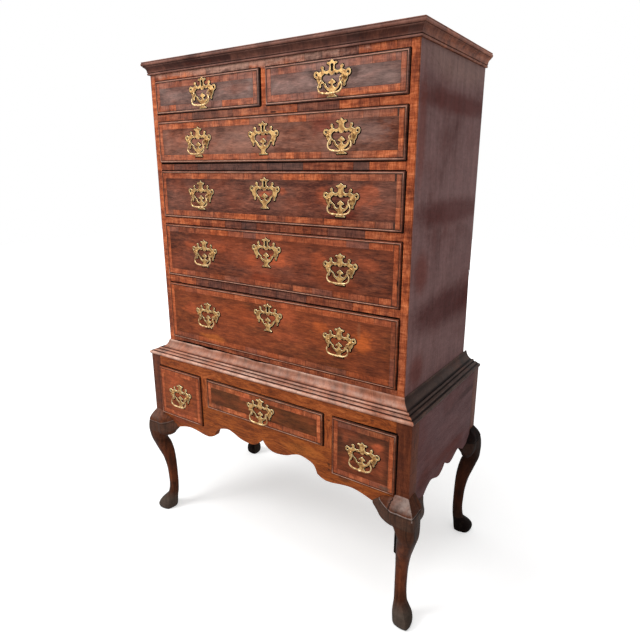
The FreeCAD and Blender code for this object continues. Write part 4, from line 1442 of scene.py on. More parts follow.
@dataclass
class Brasses:
    """The plates, posts, nuts and lock of one drawer."""

    place: Place
    shape: PlateShape = field(default_factory=PlateShape)
    post_x: float = 37.0
    post_drop: float = 9.0
    block: float = 18.0
    tilt: float = 0.018
    head: tuple[Point2, ...] = (
        (0.0, 0.0), (5.4, 0.0), (5.6, -0.6), (5.0, -1.3), (3.3, -1.7), (2.7, -2.4), (3.2, -3.2), (4.1, -4.2),
        (4.6, -5.6), (4.6, -7.2), (4.0, -8.8), (2.8, -10.1), (1.4, -10.8), (0.0, -11.0))
    nut: tuple[Point2, ...] = ((0.0, 0.0), (6.2, 0.0), (6.2, 3.0), (2.2, 3.4), (2.0, 5.0), (0.0, 5.0))

    def build(self, finishes: Finishes, repeater: Repeater) -> None:
        """Make the brasses of the drawer.

        Args:
            finishes: The materials.
            repeater: Sets the repeated pieces.
        """
        p = self.place
        back = p.face - 0.4
        brass = finishes.of(BRASS)
        keyed = p.lock is not None and not p.plate_only
        groups = [("plates", [(x, back, p.ring) for x in p.pulls], keyed)]
        if p.plate_only:
            groups.append(("escutcheon", [(p.lock, back, p.lock_ring)], True))
        for label, points, with_key in groups:
            seed = len(p.name) * 7 + int(p.top) % 97
            made = repeater.place(f"{p.name}_{label}", self.shape.mesh(with_key), points, brass,
                                  self.tilt, seed)
            settle(made, p.body, "brass", f"{p.name}_brasses")
            # Painted shadow and dirt round each plate, on a dark sheet behind it.
            shadow_and_dirt = repeater.place(f"{p.name}_{label}_dirt", self.shape.mesh(False, True), points,
                                  finishes.of(SUBSTRATE), self.tilt, seed)
            settle(shadow_and_dirt, p.body, "walnut_veneer")
        spots = [(x + side * self.post_x, back - self.shape.thickness, p.ring - self.post_drop)
                 for x in p.pulls for side in (-1, 1)]
        posts = repeater.place(f"{p.name}_posts", self._turned(self.head, 14), spots, brass)
        settle(posts, p.body, "brass", f"{p.name}_brasses")
        behind = [(x, p.front + self.block, z) for x, _, z in spots]
        nuts = repeater.place(f"{p.name}_nuts", self._turned(self.nut, 6), behind, brass, tilt=0.5, seed=5)
        settle(nuts, p.body, "brass", f"{p.name}_brasses")
        if p.lock is not None:
            self._lock(finishes)

    @staticmethod
    def _turned(profile: Sequence[Point2], sides: int) -> Mesh:
        """A turned piece about the Y axis from (radius, y) points.

        Args:
            profile: Its (radius, y) points.
            sides: Points round it.

        Returns:
            The mesh.
        """
        shell = Shell("turned")
        shell.loft([[(x, y, z) for x, z in circle(radius, sides)] for radius, y in profile[1:-1]])
        made = shell.build(bpy.data.materials.new("pattern"), smooth=40.0)
        mesh = made.data
        bpy.data.objects.remove(made)
        return mesh

    def _lock(self, finishes: Finishes) -> None:
        """The lock's case round its bolt, with four screws in its back.

        Args:
            finishes: The materials.
        """
        p = self.place
        shell = Shell(f"{p.name}_lock_case")
        x, top = p.lock, p.top - 5.0
        low, channel = top - 45.0, top - 32.0
        near, far = p.front + 7.0, p.front + self.block
        wide, slot, plate = 26.0, 8.3, 2.2
        shell.box((x - wide, x + wide), (far - plate, far), (low, top))
        shell.box((x - wide, x - slot), (near, far - plate), (low, top))
        shell.box((x + slot, x + wide), (near, far - plate), (low, top))
        shell.box((x - slot, x + slot), (near, far - plate), (low, channel))
        for screw_x in (x - 21.5, x + 21.5):
            for screw_z in (low + 5, top - 5):
                shell.loft([[(screw_x + across, far + out, screw_z + up) for across, up in circle(radius, 12)]
                            for radius, out in ((2.8, -0.3), (2.8, 0.4), (2.1, 0.9))])
        made = shell.build(finishes.of(IRON), smooth=30.0)
        settle(made, p.body, "iron", f"{p.name}_brasses")


@dataclass
class Bail:
    """One swan-neck bail: slim at its pins, swelling to the grip, leaning a little forwards."""

    node: str
    place: Place
    x: float
    lean: float = 0.13
    axis_out: float = 8.1
    axis_drop: float = 9.0
    sides: int = 12
    line: tuple[tuple[float, float, float], ...] = (
        (40.6, -9.0, 1.5), (37.0, -9.0, 1.5), (32.0, -9.3, 1.5), (28.9, -12.2, 1.7), (28.9, -17.2, 1.8),
        (31.8, -22.4, 1.9), (34.8, -27.4, 2.0), (36.2, -33.4, 2.1), (34.4, -39.8, 2.25),
        (29.4, -44.6, 2.45), (22.0, -47.0, 2.65), (12.0, -48.0, 2.85), (4.6, -48.4, 2.6), (0.0, -48.8, 3.2))

    def build(self, finishes: Finishes) -> None:
        """Make the bail.

        Args:
            finishes: The materials.
        """
        axis = self.place.face - self.axis_out
        path, radii = [], []
        for x, z, radius in smooth_loop(whole(self.line), 2, closed=False):
            path.append(Vector((self.x + x, axis + self.lean * (z + self.axis_drop), self.place.ring + z)))
            radii.append(radius)
        shell = Shell(f"{self.node}_drop")
        rings = []
        for n, (middle, radius) in enumerate(zip(path, radii)):
            forward = (path[min(n + 1, len(path) - 1)] - path[max(n - 1, 0)]).normalized()
            side = Vector((0, 1, 0)).cross(forward).normalized()
            up = forward.cross(side)
            rings.append([tuple(middle + side * across + up * high)
                          for across, high in circle(radius, self.sides)])
        shell.loft(rings)
        made = shell.build(finishes.of(BAIL_BRASS), smooth=60.0)
        settle(made, self.node, "brass", self.node)


# --- mouldings ----------------------------------------------------------------------------------
@dataclass
class Moulding:
    """A cross-grain moulding: a front length and two returns, mitred at the front corners."""

    name: str
    finish: WoodFinish
    bottom: float
    back: float
    section: tuple[tuple[float, float, float, float], ...]
    half_width: float = CASE_HALF_WIDTH
    front: float = CASE_FRONT
    step: float = 18.0
    wobble: float = 0.35
    tones: tuple[float, float] = (0.0, 0.35)
    # The returns' own leaf tones and share of the painted highlight: painted light and shade on the sides.
    side_lit_tones: tuple[float, float] = (0.0, 0.15)
    side_light: float = 0.15
    chips: tuple[tuple[float, float, float], ...] = ()
    chip_reach: float = 0.0
    seed: int = 1

    def build(self, finishes: Finishes) -> None:
        """Make the moulding from three runs that meet on their mitres.

        Args:
            finishes: The materials.
        """
        shell = Shell(f"{self.name}_run")
        dice = random.Random(self.seed)
        length, depth = 2 * self.half_width, self.back - self.front
        self._run(shell, dice, self.tones, 1.0, length, lambda t, reach: (
            -self.half_width - reach + t * (length + 2 * reach), self.front - reach))
        self._run(shell, dice, self.side_lit_tones, self.side_light, depth, lambda t, reach: (
            self.half_width + reach, self.front - reach + t * (depth + reach)))
        self._run(shell, dice, self.side_lit_tones, self.side_light, depth, lambda t, reach: (
            -self.half_width - reach, self.back - t * (depth + reach)))
        made = shell.build(finishes.of(self.finish), smooth=32.0)
        settle(made, CASE_BODY, "walnut", self.name)

    def _run(self, shell: Shell, dice: random.Random, tones: Point2, lit: float, length: float,
             place: Callable[[float, float], Point2]) -> None:
        """One length of the moulding.

        Args:
            shell: The piece that it is added to.
            dice: The random draws.
            tones: Least and most tone of a leaf.
            lit: Share of the rub and painted highlight that this side shows; a low share also paints shade.
            length: Its length.
            place: Turns share of the run and reach into (x, y).
        """
        count = max(4, int(length / self.step))
        girth = [0.0]
        section = self.section
        for a, b in zip(section, section[1:] + section[:1]):
            girth.append(girth[-1] + math.dist(a[:2], b[:2]))
        rings = []
        for n in range(count + 1):
            t = n / count
            ring = []
            for reach, height, rub_and_highlight, grime_and_shade in section:
                x, y = place(t, reach)
                shift = 0.0
                if reach > 1.0 and 0 < n < count:
                    shift = noise.noise(Vector((x * 0.011, y * 0.011, height * 0.05))) * self.wobble
                drop = 0.0
                if y < self.front + 1 and height > section[-1][1] - 6 and reach < self.chip_reach:
                    drop = max((deep * max(0.0, 1 - abs(x - middle) / half)
                                for middle, half, deep in self.chips), default=0.0)
                x, y = place(t, reach + shift)
                worn = noise.noise(Vector((x * 0.017, y * 0.017, height * 0.03 + self.seed)))
                # Chips add dirt; a dim return also gets painted shade.
                grime_and_shade = min(1.0, grime_and_shade + drop * 0.2 + (0.45 if lit < 0.3 else 0.0))
                ring.append(shell.point((x, y, self.bottom + height - drop),
                                        within(rub_and_highlight * lit * (0.75 + worn)), grime_and_shade))
            rings.append(ring)
        leaf = self._leaf(dice, tones)
        for n, (low, high) in enumerate(zip(rings, rings[1:])):
            if dice.random() < 0.3:
                leaf = self._leaf(dice, tones)
            for k in range(len(section)):
                m = (k + 1) % len(section)
                u0, u1 = girth[k], girth[k + 1]
                v0, v1 = n * length / count, (n + 1) * length / count
                shell.face((low[k], high[k], high[m], low[m]), ((u0, v0), (u0, v1), (u1, v1), (u1, v0)), leaf)
        shell.face(rings[0], leaf=leaf)
        shell.face(rings[-1][::-1], leaf=leaf)

    @staticmethod
    def _leaf(dice: random.Random, tones: Point2) -> Leaf:
        """The wood of one cross-grain length."""
        return Leaf(dice.uniform(*tones), dice.uniform(0.0, 0.15), dice.uniform(0, 9))


# Each section goes round from the lower back corner: reach out, height, rub and grime; the rub is wear with
# painted highlight, the grime dirt with painted shade in the hollows.
CORNICE_SECTION = (
    (0.0, 0.0, 0, 0.6), (4.2, 0.0, 0, 0.3), (6.0, 0.7, 0.3, 0), (6.8, 2.2, 0.6, 0), (6.8, 3.8, 0.6, 0),
    (6.0, 5.4, 0.3, 0), (5.2, 6.2, 0, 0.8), (5.3, 7.2, 0, 0.9), (6.6, 7.6, 0.2, 0.2), (6.7, 9.0, 0.2, 0),
    (6.9, 12.0, 0, 0), (7.8, 15.6, 0, 0), (9.6, 18.8, 0, 0), (12.2, 21.6, 0, 0.1), (15.4, 23.8, 0.2, 0.3),
    (15.8, 24.3, 0.4, 0.2), (15.8, 26.2, 0.4, 0.3), (17.4, 26.6, 0, 0.8), (18.6, 27.6, 0.2, 0),
    (19.7, 29.6, 0.5, 0), (20.0, 32.0, 0.5, 0), (19.3, 34.4, 0.3, 0), (17.9, 36.2, 0, 0.5),
    (17.8, 37.0, 0.6, 0), (18.5, 37.6, 0.9, 0), (18.5, 38.6, 1.0, 0), (18.2, 39.0, 0.7, 0),
    (0.0, 39.0, 0, 0.3))
WAIST_SECTION = (
    (-2.0, 0.0, 0, 1), (48.0, 0.0, 0, 0.6), (50.4, 0.8, 0.1, 0.3), (53.0, 2.6, 0.2, 0), (55.0, 5.0, 0.4, 0),
    (56.0, 8.0, 0.8, 0), (55.7, 10.4, 1.0, 0), (54.4, 12.6, 0.9, 0), (52.2, 14.0, 0.4, 0),
    (50.6, 14.6, 0, 0.5), (48.6, 14.2, 0, 1), (46.4, 14.4, 0, 1), (45.4, 16.2, 0.3, 0.3),
    (44.2, 17.0, 0.8, 0), (40.6, 18.2, 0.3, 0), (37.4, 19.0, 0.5, 0), (36.0, 19.4, 0.2, 0.4),
    (34.8, 18.6, 0, 1), (33.0, 18.6, 0, 1), (32.4, 21.0, 0.2, 0.3), (31.4, 23.2, 0.8, 0),
    (29.6, 25.0, 0.5, 0), (27.6, 26.0, 0.1, 0.2), (25.4, 25.2, 0, 1), (22.6, 24.6, 0, 1),
    (20.4, 25.6, 0.1, 0.5), (17.2, 27.6, 0.3, 0), (13.8, 30.4, 0.5, 0), (10.8, 33.8, 0.45, 0),
    (8.2, 37.8, 0.35, 0), (6.2, 42.2, 0.25, 0.1), (4.6, 46.8, 0.3, 0.2),
    (3.4, 50.4, 0.6, 0.1), (2.8, 52.6, 0.9, 0), (1.6, 53.6, 0.7, 0.3), (0.9, 52.8, 0, 1), (0.7, 30.0, 0, 1),
    (-2.0, 28.0, 0, 1))


# --- the case -----------------------------------------------------------------------------------
@dataclass
class CaseFrame:
    """Cross banding on the rails and the divider, and the two stiles beside the drawers.

    The leaves of each rail are given from the left by their right ends, their tones and their greyness.
    """

    inner: float = SIDE_INNER
    outer: float = CASE_HALF_WIDTH
    rail_end: float = 451.9
    divider: float = 15.0
    front: float = CASE_FRONT
    thickness: float = 0.15
    joint: float = 0.8
    leaf_width: float = 64.0
    stile_joints: tuple[float, ...] = (742.0, 930.0, 1118.0, 1296.0, 1449.0)
    seed: int = 21
    rails: tuple[tuple[float, float, tuple[tuple[float, float, float], ...]], ...] = (
        (1580.0, 1625.0, ((-220, 0.8, 0.15), (-50, 0.1, 0.7), (10, 0.6, 0.1), (145, 0.35, 0.2),
                          (310, 0.2, 0.5), (370, 0.8, 0.0), (415, 0.85, 0.0), (452, 0.4, 0.1))),
        (1456.0, 1487.4, ((-290, 0.8, 0.0), (-180, 0.25, 0.1), (-120, 0.2, 0.1), (-40, 0.85, 0.0),
                          (45, 0.6, 0.0), (120, 0.7, 0.1), (255, 0.15, 0.4), (292, 0.9, 0.0),
                          (452, 0.6, 0.0))),
        (1301.7, 1335.1, ((-390, 0.4, 0.2), (-280, 0.1, 0.5), (-50, 0.05, 0.7), (65, 0.05, 0.55),
                          (137, 0.0, 0.85), (300, 0.35, 0.1), (348, 0.1, 0.6), (452, 0.85, 0.0))),
        (1125.7, 1157.9, ((-415, 0.5, 0.0), (-375, 0.7, 0.0), (-285, 0.9, 0.0), (-230, 0.25, 0.1),
                          (-170, 0.45, 0.0), (-100, 0.2, 0.3), (-40, 0.1, 0.6), (50, 0.35, 0.2),
                          (220, 0.4, 0.1), (340, 0.1, 0.5), (400, 0.75, 0.0), (452, 0.65, 0.0))),
        (920.0, 955.6, ((-320, 0.75, 0.0), (-80, 0.15, 0.3), (145, 0.15, 0.45), (305, 0.35, 0.1),
                        (390, 0.85, 0.0), (452, 0.8, 0.0))),
        (690.0, 725.1, ((0, 0.35, 0.0), (250, 0.5, 0.0), (452, 0.45, 0.0))))

    def build(self, finishes: Finishes) -> None:
        """Make the banding and the stiles.

        Args:
            finishes: The materials.
        """
        dice = random.Random(self.seed)
        finish = replace(RAIL, stains_and_light=(
            on_front(-100, 1607, 460, 26, shade(200, 154, 134), 0.65),
            on_front(-200, 1472, 330, 20, shade(120, 92, 82), 0.4),
            on_front(-44, 1588, 7, 3, shade(14, 8, 8)), on_front(35, 1466, 13, 3, shade(26, 12, 10), 0.9),
            on_front(35, 1476, 20, 8, shade(84, 38, 24), 0.5)))
        shell = Shell("case_banding")
        near, far = self.front - self.thickness, self.front + 0.1
        for low, high, stops in self.rails:
            at = -self.rail_end
            for stop, tone, grey in stops:
                stop = min(stop, self.rail_end)
                count = max(1, round((stop - at) / self.leaf_width))
                for n in range(count):
                    a = at + (stop - at) * n / count + self.joint / 2
                    c = at + (stop - at) * (n + 1) / count - self.joint / 2
                    leaf = Leaf(within(tone + dice.uniform(-0.1, 0.1)),
                                within(grey + dice.uniform(-0.12, 0.12)), dice.uniform(0, 9),
                                math.pi / 2, 0.5)
                    shell.prism([(a, low), (c, low), (c, high), (a, high)], near, far, leaf)
                at = stop
        top_rail, second_rail = self.rails[0], self.rails[1]
        shell.box((-self.divider, self.divider), (near, far), (second_rail[1], top_rail[0]),
                  Leaf(0.95, 0.0, 4.0, math.pi / 2))
        settle(shell.build(finishes.of(finish), smooth=0.0), CASE_BODY, "walnut_veneer")
        self._stiles(finishes, dice)

    def _stiles(self, finishes: Finishes, dice: random.Random) -> None:
        """The front edges of the case sides, in long upright leaves with a rounded arris.

        Args:
            finishes: The materials.
            dice: The random draws.
        """
        shell = Shell("case_stiles")
        near, far, inner = self.front - self.thickness, self.front + 4.0, self.rail_end + 0.4
        for side in (-1, 1):
            cuts = [STAND_TOP, *(z + dice.uniform(-30, 30) for z in self.stile_joints), CASE_TOP]
            for low, high in zip(cuts, cuts[1:]):
                tone = 0.9 if low > 900 else 0.72
                leaf = Leaf(within(tone + dice.uniform(-0.15, 0.1)), 0.0, dice.uniform(0, 9),
                            math.pi / 2, 0.8)
                outline = [(inner, near), (self.outer - 1.6, near), (self.outer - 0.7, near + 0.3),
                           (self.outer - 0.1, near + 1.0), (self.outer, near + 1.8), (self.outer, far),
                           (inner, far)]
                if side < 0:
                    outline = [(-x, y) for x, y in reversed(outline)]
                shell.prism(outline, low + 0.15, high - 0.15, leaf, axis="Z")
            backing = [(side * x, self.front + y) for x, y in (
                (self.inner, 0.1), (self.outer - 0.4, 0.1), (self.outer - 0.4, 4.2), (self.inner, 4.2))]
            shell.prism(backing[::side], STAND_TOP, CASE_TOP, Leaf(), axis="Z", grime_and_shade=1.0)
        made = shell.build(finishes.of(RAIL), smooth=50.0)
        settle(made, CASE_BODY, "walnut_veneer", "case_sides")


@dataclass
class DarkGaps:
    """The dark line of shadow and old dirt round each drawer's lip, as wide as the gap is worn."""

    default: tuple[float, ...] = (1.0, 1.0, 1.6, 1.4, 1.4, 1.4, 1.0, 1.0)
    wider: tuple[tuple[str, tuple[float, ...]], ...] = (
        ("short_left", (1.0, 1.0, 4.2, 4.6, 1.6, 1.6, 1.0, 1.2)),
        ("short_right", (1.0, 1.0, 1.4, 2.4, 1.2, 1.2, 1.4, 1.4)),
        ("long_first", (0.9, 0.9, 2.6, 3.0, 4.4, 2.2, 1.2, 1.2)),
        ("long_second", (1.0, 1.0, 1.6, 3.0, 1.0, 1.2, 2.4, 2.4)),
        ("long_third", (1.0, 1.2, 1.6, 1.6, 1.2, 1.2, 1.4, 1.2)),
        ("long_fourth", (1.2, 0.8, 2.2, 2.2, 1.0, 1.2, 2.4, 3.8)),
        ("stand_left", (1.2, 1.0, 2.6, 1.4, 1.2, 1.4, 3.0, 2.0)),
        ("stand_centre", (1.6, 1.6, 3.0, 2.6, 1.0, 1.0, 1.8, 1.8)),
        ("stand_right", (1.4, 1.2, 3.0, 3.6, 1.2, 2.2, 1.6, 5.0)))
    # A dark wedge of painted shadow and dirt in the gap above the waist moulding.
    wedge: tuple[Point2, ...] = (
        (-452, 702), (60, 702), (60, 705.2), (-40, 706.4), (-150, 707.2), (-260, 709.6), (-390, 710.4),
        (-452, 706))

    def build(self, finishes: Finishes) -> None:
        """Make the lines: each width is at one end of the left, right, lower or upper line.

        Args:
            finishes: The materials.
        """
        shell = Shell("dark_gaps")
        for place in PLACES:
            w = [width + 0.6 for width in dict(self.wider).get(place.name, self.default)]
            left, right, bottom, top = place.left, place.right, place.bottom, place.top
            lines = (((left - w[0], bottom), (left + 2, bottom), (left + 2, top), (left - w[1], top)),
                     ((right - 2, bottom), (right + w[2], bottom), (right + w[3], top), (right - 2, top)),
                     ((left - 1, bottom - w[4]), (right + 1, bottom - w[5]), (right + 1, bottom + 2),
                      (left - 1, bottom + 2)),
                     ((left - 1, top - 2), (right + 1, top - 2), (right + 1, top + w[7]),
                      (left - 1, top + w[6])))
            for line in lines:
                shell.prism(line, place.front - 0.2, place.front + 0.05)
        shell.prism(self.wedge, CASE_FRONT - 0.3, CASE_FRONT + 0.05)
        settle(shell.build(finishes.of(SUBSTRATE), smooth=0.0), CASE_BODY, "walnut_veneer")


@dataclass
class CaseSides:
    """The two veneered side boards, with their old shrinkage cracks."""

    inner: float = SIDE_INNER
    outer: float = CASE_HALF_WIDTH
    front: float = CASE_FRONT + 4.0
    back: float = CASE_BACK
    arris: float = 1.2
    back_edge: tuple[Point2, ...] = (
        (STAND_TOP, 0.0), (790.0, 0.0), (880.0, 2.0), (950.0, 5.0), (990.0, 7.0), (993.0, 0.5), (1060.0, 0.0),
        (CASE_TOP, 0.0))
    cracks: tuple[tuple[tuple[float, float, float], ...], ...] = (
        ((19.0, 1600.0, 1.0), (20.0, 1550.0, 0.6), (18.0, 1500.0, 0.2)),
        ((-194.0, 1586.0, 0.2), (-150.0, 1578.0, 0.9), (-105.0, 1562.0, 0.9), (-70.0, 1536.0, 0.3)),
        ((-30.0, 1150.0, 0.2), (-28.0, 1080.0, 0.5), (-29.0, 1010.0, 0.2)),
        ((-57.0, 985.0, 0.2), (-55.0, 948.0, 0.8), (-52.0, 915.0, 0.2)),
        ((7.0, 780.0, 0.2), (7.0, 746.0, 0.8), (9.0, 700.0, 0.3)),
        ((251.0, 994.0, 2.6), (244.0, 968.0, 1.6), (236.0, 946.0, 1.0), (226.0, 926.0, 0.3)))

    def build(self, finishes: Finishes) -> None:
        """Make both boards and the cracks in them.

        Args:
            finishes: The materials.
        """
        shell = Shell("case_side_boards")
        for side in (-1, 1):
            rings = []
            for z, cut in self.back_edge if side > 0 else (self.back_edge[0], self.back_edge[-1]):
                outline = [(self.inner, self.front), (self.outer, self.front),
                           (self.outer, self.back - self.arris - cut),
                           (self.outer - self.arris, self.back - cut), (self.inner, self.back - cut)]
                rings.append([(side * x, y, z) for x, y in outline])
            shell.loft(rings)
        made = shell.build(finishes.of(SIDE), smooth=20.0)
        settle(made, CASE_BODY, "walnut_veneer", "case_sides")
        shell = Shell("case_side_cracks")
        for side in (-1, 1):
            for crack in self.cracks:
                self._crack(shell, crack, side)
        settle(shell.build(finishes.of(SUBSTRATE), smooth=0.0), CASE_BODY, "walnut_veneer")

    def _crack(self, shell: Shell, crack: Sequence[tuple[float, float, float]], side: int) -> None:
        """A dirt-filled crack as a thin tapering ribbon on the outside.

        Args:
            shell: The piece that it is added to.
            crack: Y, Z and width along it.
            side: 1 on the right, -1 on the left.
        """
        x0, x1 = side * (self.outer - 0.3), side * (self.outer + 0.05)
        rings = []
        for y, z, width in smooth_loop(crack, 5, closed=False):
            middle = y + noise.noise(Vector((z * 0.05, y * 0.05, 2.0))) * 1.6
            half = max(0.12, width * 0.5)
            rings.append([(x0, middle - half, z), (x1, middle - half, z), (x1, middle + half, z),
                          (x0, middle + half, z)])
        shell.loft(rings)


@dataclass
class BackPlanks:
    """Upright planks nailed across the back of the case."""

    inner: float = SIDE_INNER
    front: float = 240.0
    back: float = CASE_BACK
    planks: int = 5
    arris: float = 1.6
    nail_rows: tuple[float, ...] = (664.0, 938.0, 1142.0, 1318.0, 1472.0, 1612.0)
    nail: tuple[Point2, ...] = ((0.0, 0.0), (3.4, -0.2), (3.4, 0.25), (2.2, 0.7), (0.0, 0.8))

    def build(self, finishes: Finishes, repeater: Repeater) -> None:
        """Make the planks and their nails.

        Args:
            finishes: The materials.
            repeater: Sets the repeated pieces.
        """
        width = 2 * self.inner / self.planks
        shell = Shell("case_back_planks")
        points = []
        dice = random.Random(8)
        for n in range(self.planks):
            a, c = -self.inner + n * width + 0.3, -self.inner + (n + 1) * width - 0.3
            outline = [(a, self.front), (c, self.front), (c, self.back - self.arris),
                       (c - self.arris, self.back), (a + self.arris, self.back), (a, self.back - self.arris)]
            shell.prism(outline, STAND_TOP, CASE_TOP, Leaf(seed=dice.uniform(0, 9)), axis="Z")
            for z in self.nail_rows:
                for x in (a + 22.0, c - 22.0):
                    points.append((x + dice.uniform(-5, 5), self.back, z + dice.uniform(-3, 3)))
        settle(shell.build(finishes.of(PINE), smooth=20.0), CASE_BODY, "pine", "case_back")
        nails = repeater.place("case_back_nails", Brasses._turned(self.nail, 8), points, finishes.of(IRON),
                               tilt=3.0, seed=4)
        settle(nails, CASE_BODY, "iron")


# --- the stand ----------------------------------------------------------------------------------
@dataclass
class StandFrame:
    """The shaped front and side boards of the stand, with the banding between its drawers."""

    half_width: float = STAND_HALF_WIDTH
    half_depth: float = -STAND_FRONT
    top: float = STAND_TOP
    board: float = 22.0
    post: float = CORNER_POST
    lip: float = 4.0
    bar: Point2 = (238.0, 277.6)
    rail_bottom: float = 610.0
    front_apron: tuple[tuple, ...] = (
        (0, 457, "c"), (12, 441), (28, 429), (50, 423), (76, 424.6), (102, 430), (128, 441), (152, 447),
        (180, 442), (206, 430), (219, 404, "c"), (235, 395.6), (251, 391, "c"), (276, 392.3), (300, 396.5),
        (338, 400.5), (372, 395.8), (410, 384, "c"), (479.6, 384, "c"))
    side_apron: tuple[tuple, ...] = (
        (0, 416, "c"), (18, 400), (44, 390.5), (64, 392.4), (82, 399), (113, 408), (142, 399.4),
        (165, 384, "c"), (226.1, 384, "c"))
    seed: int = 33

    def build(self, finishes: Finishes) -> None:
        """Make the boards and the banding.

        Args:
            finishes: The materials.
        """
        inner = self.half_width - self.post
        by_name = {place.name: place for place in PLACES}
        centre, right = by_name["stand_centre"], by_name["stand_right"]
        half, low, high = centre.right - self.lip, centre.bottom + self.lip, centre.top - self.lip
        opening = [(-half, low), (half, low), (half, high), (-half, high)]
        near, low, high = right.left + self.lip, right.bottom + self.lip, right.top - self.lip
        notch = [(inner, low), (near, low), (near, high), (inner, high)]
        front = sawn_sheet([self._outline(self.front_apron, inner, notch), opening], self.board, 0.5)
        stood_up(front, lambda v: (v[0], -v[2] - self.half_depth + self.board / 2, v[1]))
        settle(object_of("stand_front_board", front, finishes.of(STAND_BOARD)), CASE_BODY, "walnut_veneer",
               "stand_front")
        for side, label in ((-1, "left"), (1, "right")):
            mesh = sawn_sheet([self._outline(self.side_apron, self.half_depth - self.post, [])],
                              self.board, 0.5)
            stood_up(mesh, lambda v, s=side: (v[2] + s * (self.half_width - self.board / 2), v[0], v[1]))
            settle(object_of(f"stand_side_board_{label}", mesh, finishes.of(STAND_SIDE)),
                   CASE_BODY, "walnut_veneer", "stand_sides")
        self._banding(finishes)

    def _outline(self, apron: Sequence[tuple], end: float, notch: Sequence[Point2]) -> list[Point2]:
        """A board's outline: square above, shaped below, the same on both sides.

        Args:
            apron: The lower edge of the right half.
            end: Half the board's length.
            notch: An opening at its right end, from its lower corner to its upper one.

        Returns:
            The outline.
        """
        half = smooth_loop(apron, 4, closed=False) + list(notch) + [(end, self.top)]
        return [(-x, z) for x, z in reversed(half[1:])] + half

    def _banding(self, finishes: Finishes) -> None:
        """Cross-grain leaves on the rail over the drawers and the bars between them.

        Args:
            finishes: The materials.
        """
        dice = random.Random(self.seed)
        shell = Shell("stand_banding")
        near, far = -self.half_depth - 0.15, -self.half_depth + 0.1
        inner = self.half_width - self.post
        at = -inner
        while at < inner - 1:
            end = at + dice.uniform(90.0, 210.0)
            end = end if end < inner - 60 else inner
            leaf = Leaf(0.15 + dice.uniform(-0.1, 0.15), 0.0, dice.uniform(0, 9), 0.0)
            shell.box((at + 0.15, end - 0.15), (near, far), (self.rail_bottom, self.top), leaf)
            at = end
        for side in (-1, 1):
            x0, x1 = sorted(side * x for x in self.bar)
            shell.box((x0, x1), (near, far), (506.0, self.rail_bottom - 0.3),
                      Leaf(0.3 + dice.uniform(-0.1, 0.1), 0.0, dice.uniform(0, 9), math.pi / 2))
        settle(shell.build(finishes.of(replace(STAND_BOARD, name="Stand rail walnut", grain=Grain.MAP)),
                           smooth=0.0), CASE_BODY, "walnut_veneer")


